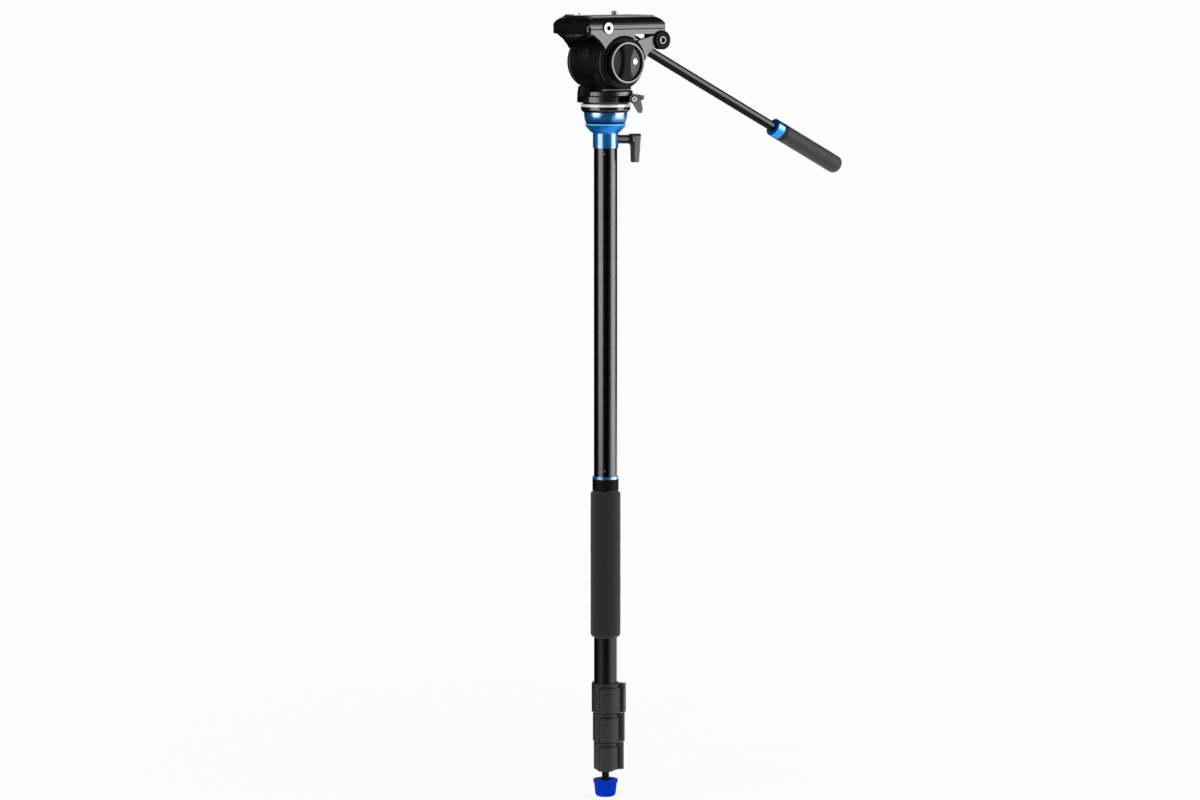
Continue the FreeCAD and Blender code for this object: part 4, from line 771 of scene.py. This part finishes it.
# %% [markdown]
# The trim ring is flat with softly rounded edges, so it shows as one even satin band. It is spun
# and turned on to the head's left side like the knob.
# %% Trim ring
RING_OUTER = 22.0 * MM
RING_INNER = 19.8 * MM
RING_FOOT = 37.8 * MM
RING_EDGE = 0.45 * MM
trim_top = RING_FOOT + 2.0 * MM
ring_outline = [(RING_OUTER, RING_FOOT)]
ring_outline += rounded(RING_EDGE, RING_OUTER - RING_EDGE, trim_top, 0, 90, 5)
ring_outline += rounded(RING_EDGE, RING_INNER + RING_EDGE, trim_top, 90, 180, 5)
ring_outline.append((RING_INNER, RING_FOOT))
ring = spun(ring_outline, steps=128)
bmesh.ops.transform(ring, matrix=left_side, verts=ring.verts)
finished(ring, "tilt_knob_ring", satin, "tilt_knob", ("tilt_knob_trim",))

# %% [markdown]
# A small dished disc is inlaid in the floor of the dish, on the side towards the pan bar. It is left
# bare. Its outline is in millimetres, and one move sets it beside the axle before the knob's turn.
# %% Inlaid disc
DISC_PLACE = (12.0 * MM, 0.9 * MM, 0)
coin_outline = [(0, 35.9), (3.4, 35.9), (3.4, 36.8), (3.1, 37.0), (2.7, 36.9), (0, 36.85)]
coin = spun([(radius * MM, height * MM) for radius, height in coin_outline], steps=48)
bmesh.ops.translate(coin, verts=coin.verts, vec=DISC_PLACE)
bmesh.ops.transform(coin, matrix=left_side, verts=coin.verts)
finished(coin, "tilt_knob_disc", silver, "tilt_knob")

# %% [markdown]
# The level's fluid has an air bubble, which shows from above as a pale ring: light is bent at its
# edge only. A thin spun ring on the vial's top gives that without refraction, which takes many
# samples.
# %% Level bubble
BUBBLE_SHIFT = 0.6 * MM
BUBBLE_SINK = 0.08 * MM
bubble_outline = [(1.6, 0), (1.9, 0.08), (1.6, 0.16), (1.35, 0.08)]
bubble = spun([(radius * MM, height * MM) for radius, height in bubble_outline], steps=48)
bubble_place = (level_place.x + BUBBLE_SHIFT, level_place.y, level_high.z - BUBBLE_SINK)
bmesh.ops.translate(bubble, verts=bubble.verts, vec=bubble_place)
bubble_finish = simple_finish("Bubble edge", "vial_glass", (0.80, 0.88, 0.55), (0.88, 0.93, 0.65),
                              roughness=0.1, grain=1, depth=0.001, IOR=1.4)
finished(bubble, "level_bubble", bubble_finish, "pan")

# %% [markdown]
# The nose carries a small plated rivet with a domed head. It is spun upright and then stood on the
# nose's slope, along the line that the rivet was driven in.
# %% Nose rivet
rivet_outline = [(0, -0.4), (1.0, -0.4), (0.95, 0.15), (0.6, 0.4), (0, 0.5)]
rivet = spun([(radius * MM, height * MM) for radius, height in rivet_outline], steps=24)
rivet_place = Vector((-44.1 * MM, -1.9 * MM, tilt_centre.z + 44.0 * MM))
rivet_axis = (-0.74, 0, 0.67)
bmesh.ops.transform(rivet, matrix=stood_on(rivet_axis, rivet_place), verts=rivet.verts)
finished(rivet, "nose_rivet", chrome, "tilt")

# %% [markdown]
# The window between the plate housing and the rosette arm is open only at its front. Further back
# something black closes it, here a thin web set in from the cheek's face. That it is a web is a
# guess. It is one flat face, pushed out to a plate whose rim ends inside the casting, so the rim
# needs no fit.
# %% Web in the window
WEB_FACE = -28.5 * MM
WEB_THICKNESS = 1.0 * MM
web_outline = ((31.0, 24.5), (43.0, 27.5), (50.0, 29.5), (50.0, 31.5), (31.0, 31.5))
web = bmesh.new()
corners = [web.verts.new((tilt_centre.x + x * MM, WEB_FACE, tilt_centre.z + z * MM))
           for x, z in web_outline]
face = web.faces.new(corners)
pushed = bmesh.ops.extrude_face_region(web, geom=[face], use_keep_orig=True)
moved = [item for item in pushed["geom"] if isinstance(item, bmesh.types.BMVert)]
bmesh.ops.translate(web, verts=moved, vec=(0, WEB_THICKNESS, 0))
finished(web, "window_web", matt_black, "tilt")

# %% [markdown]
# The camera stands where the photographer stood: 4.4 m from the pole, a little above the head and
# looking slightly down. A long lens keeps the pole's sides almost parallel. The lens was worked out
# in pixels of the 1200 pixel wide picture, and the sensor's width turns it into millimetres.
# %% Camera
DISTANCE = 4.434
HEIGHT = 0.9498
SIDE_STEP = -6.0 * MM
LOOK_DOWN = 6.6
FOCAL_PIXELS = 4114.0
PICTURE_WIDTH = 1200.0
camera_data = bpy.data.cameras.new("Camera")
camera = bpy.data.objects.new("Camera", camera_data)
scene.collection.objects.link(camera)
camera_data.sensor_width = 36.0
camera_data.lens = FOCAL_PIXELS / PICTURE_WIDTH * camera_data.sensor_width
camera_data.clip_end = 60.0
camera.location = toward_camera * DISTANCE + to_the_right * SIDE_STEP + Vector((0, 0, HEIGHT))
camera.rotation_euler = (math.radians(90.0 - LOOK_DOWN), 0, VIEW_AZIMUTH)
scene.camera = camera
print("camera at", tuple(round(v, 3) for v in camera.location))

# %% [markdown]
# Product photographers light black things with bright panels in a dark room: each panel shows as a
# clean band on the gloss. Two big panels stand left and right of the camera. Angles are counted
# from the camera, to the right, so that a panel's place can be read from where its band lies on the
# tube. Its power follows from the radiance wanted, so a bigger panel isn't a brighter one.
# %% Lamps
PANEL_DISTANCE = 2.2
AIM = Vector((0, 0, 0.55))


def panel_lamp(name, angle, width, height, middle, radiance):
    data = bpy.data.lights.new(name, "AREA")
    data.shape = "RECTANGLE"
    data.size = width
    data.size_y = height
    data.energy = radiance * math.pi * width * height
    lamp = bpy.data.objects.new(name, data)
    scene.collection.objects.link(lamp)
    turn = math.radians(angle)
    away = toward_camera * math.cos(turn) + to_the_right * math.sin(turn)
    lamp.location = away * PANEL_DISTANCE + Vector((0, 0, middle))
    lamp.rotation_euler = (AIM - lamp.location).to_track_quat("-Z", "Y").to_euler()
    lamp.visible_camera = False
    return lamp


panel_lamp("Left panel", angle=-51, width=1.8, height=2.0, middle=0.95, radiance=1.9)
panel_lamp("Right panel", angle=84, width=2.2, height=1.8, middle=0.85, radiance=2.4)
print(len(bpy.data.lights), "lamps")

# %% [markdown]
# The room is white to the eye and to gloss, but gives the object only a soft fill. A Light Path
# node tells the two apart, so the background stays white without more light on the object.
# %% Room
WHITE = 0.978
FILL = 0.8
world = bpy.data.worlds.new("Room")
scene.world = world
world.use_nodes = True
tree = world.node_tree
path = tree.nodes.new("ShaderNodeLightPath")
seen = tree.nodes.new("ShaderNodeMath")
seen.operation = "MAXIMUM"
seen_all = tree.nodes.new("ShaderNodeMath")
seen_all.operation = "MAXIMUM"
tree.links.new(path.outputs["Is Camera Ray"], seen.inputs[0])
tree.links.new(path.outputs["Is Glossy Ray"], seen.inputs[1])
tree.links.new(seen.outputs[0], seen_all.inputs[0])
tree.links.new(path.outputs["Is Transmission Ray"], seen_all.inputs[1])
strength = tree.nodes.new("ShaderNodeMapRange")
strength.inputs["To Min"].default_value = FILL
strength.inputs["To Max"].default_value = WHITE
background = tree.nodes["Background"]
background.inputs["Color"].default_value = (1, 1, 1, 1)
tree.links.new(seen_all.outputs[0], strength.inputs["Value"])
tree.links.new(strength.outputs[0], background.inputs["Strength"])
print("room", world.name)

# %% [markdown]
# The floor is a white table: close by it is plain paint, which takes the shadow, and further out it fades into the
# same white as the room, so that no horizon shows. A curved backdrop would need a light of its own to stay even.
# The floor and the flags belong to the stage, not to the object, and staged() makes each of them as an object with
# its material.
# %% Floor
def staged(name, bm, material):
    mesh = bpy.data.meshes.new(name)
    bm.to_mesh(mesh)
    bm.free()
    mesh.materials.append(material)
    thing = bpy.data.objects.new(name, mesh)
    scene.collection.objects.link(thing)
    return thing


FLOOR_REACH = 30.0
FLOOR_DROP = 0.2 * MM
floor_finish = Finish("Pale floor", "floor", Base_Color=(0.93, 0.93, 0.93, 1), Roughness=0.8,
                      IOR=1.2)
rays = floor_finish.node("ShaderNodeLightPath", {}, {}, "Is Camera Ray")
for other in ("Is Glossy Ray", "Is Transmission Ray"):
    rays = rays.math("MAXIMUM", floor_finish.node("ShaderNodeLightPath", {}, {}, other))
spread = floor_finish.away_from((0, 0, 0), (0, 0, 1))
fade_range = {"Value": spread, "From Min": 0.1, "From Max": 1.2, "To Min": 0.86, "To Max": 1.0}
fade = floor_finish.node("ShaderNodeMapRange", {"interpolation_type": "SMOOTHSTEP"}, fade_range)
table = Wire(floor_finish, floor_finish.shader.outputs[0])
glow = floor_finish.node("ShaderNodeEmission", {}, {"Strength": WHITE})
mixed = floor_finish.node("ShaderNodeMixShader", {}, {0: rays * fade, 1: table, 2: glow})
output = floor_finish.tree.nodes["Material Output"]
floor_finish.tree.links.new(mixed.socket, output.inputs["Surface"])
bm = bmesh.new()
bmesh.ops.create_grid(bm, x_segments=1, y_segments=1, size=FLOOR_REACH)
floor = staged("Floor", bm, floor_finish.material)
floor.location.z = -FLOOR_DROP
print("floor ready")

# %% [markdown]
# Black flags keep the white room out of the gloss, as in any studio that shoots black things on
# white. They stand all round the object, over it and on the floor. They are open at the back, where
# the gloss sees the white background, and on the floor close to the pole and behind it to the
# right, so that the cup's underside mirrors the white table. Only gloss sees them, so they take no
# light from the object and show from no side.
# %% Black flags
FLAG_DISTANCE = 3.2
FLAG_HEIGHT = 4.5
FLOOR_GAP = 0.24
FLAG_MARGIN = 0.1
FLOOR_OPEN_FROM, FLOOR_OPEN_TO = 40, 175
BACK_OPEN_FROM = 167
flag_finish = Finish("Black flag", "flag", Base_Color=(0.0015, 0.0015, 0.0015, 1), Roughness=1.0,
                     IOR=1.0)
flag_outline = [(0, FLAG_HEIGHT), (FLAG_DISTANCE, FLAG_HEIGHT), (FLAG_DISTANCE, 0), (FLOOR_GAP, 0)]
bm = spun(flag_outline, steps=72)


def stands_open(face):
    middle = face.calc_center_median()
    angle = math.degrees(math.atan2(middle.dot(to_the_right), middle.dot(toward_camera)))
    if middle.z < FLAG_MARGIN:
        return FLOOR_OPEN_FROM < angle < FLOOR_OPEN_TO
    return middle.z < FLAG_HEIGHT - FLAG_MARGIN and abs(angle) > BACK_OPEN_FROM


open_faces = [face for face in bm.faces if stands_open(face)]
bmesh.ops.delete(bm, geom=open_faces, context="FACES")
flags = staged("Black_flags", bm, flag_finish.material)
for ray in ("camera", "diffuse", "transmission", "volume_scatter", "shadow"):
    setattr(flags, "visible_" + ray, False)
print("flags", len(flags.data.polygons), "faces")

# %% [markdown]
# The picture is kept plain: the Standard view writes colours as they are.
# %% Finish
scene.view_settings.view_transform = "Standard"
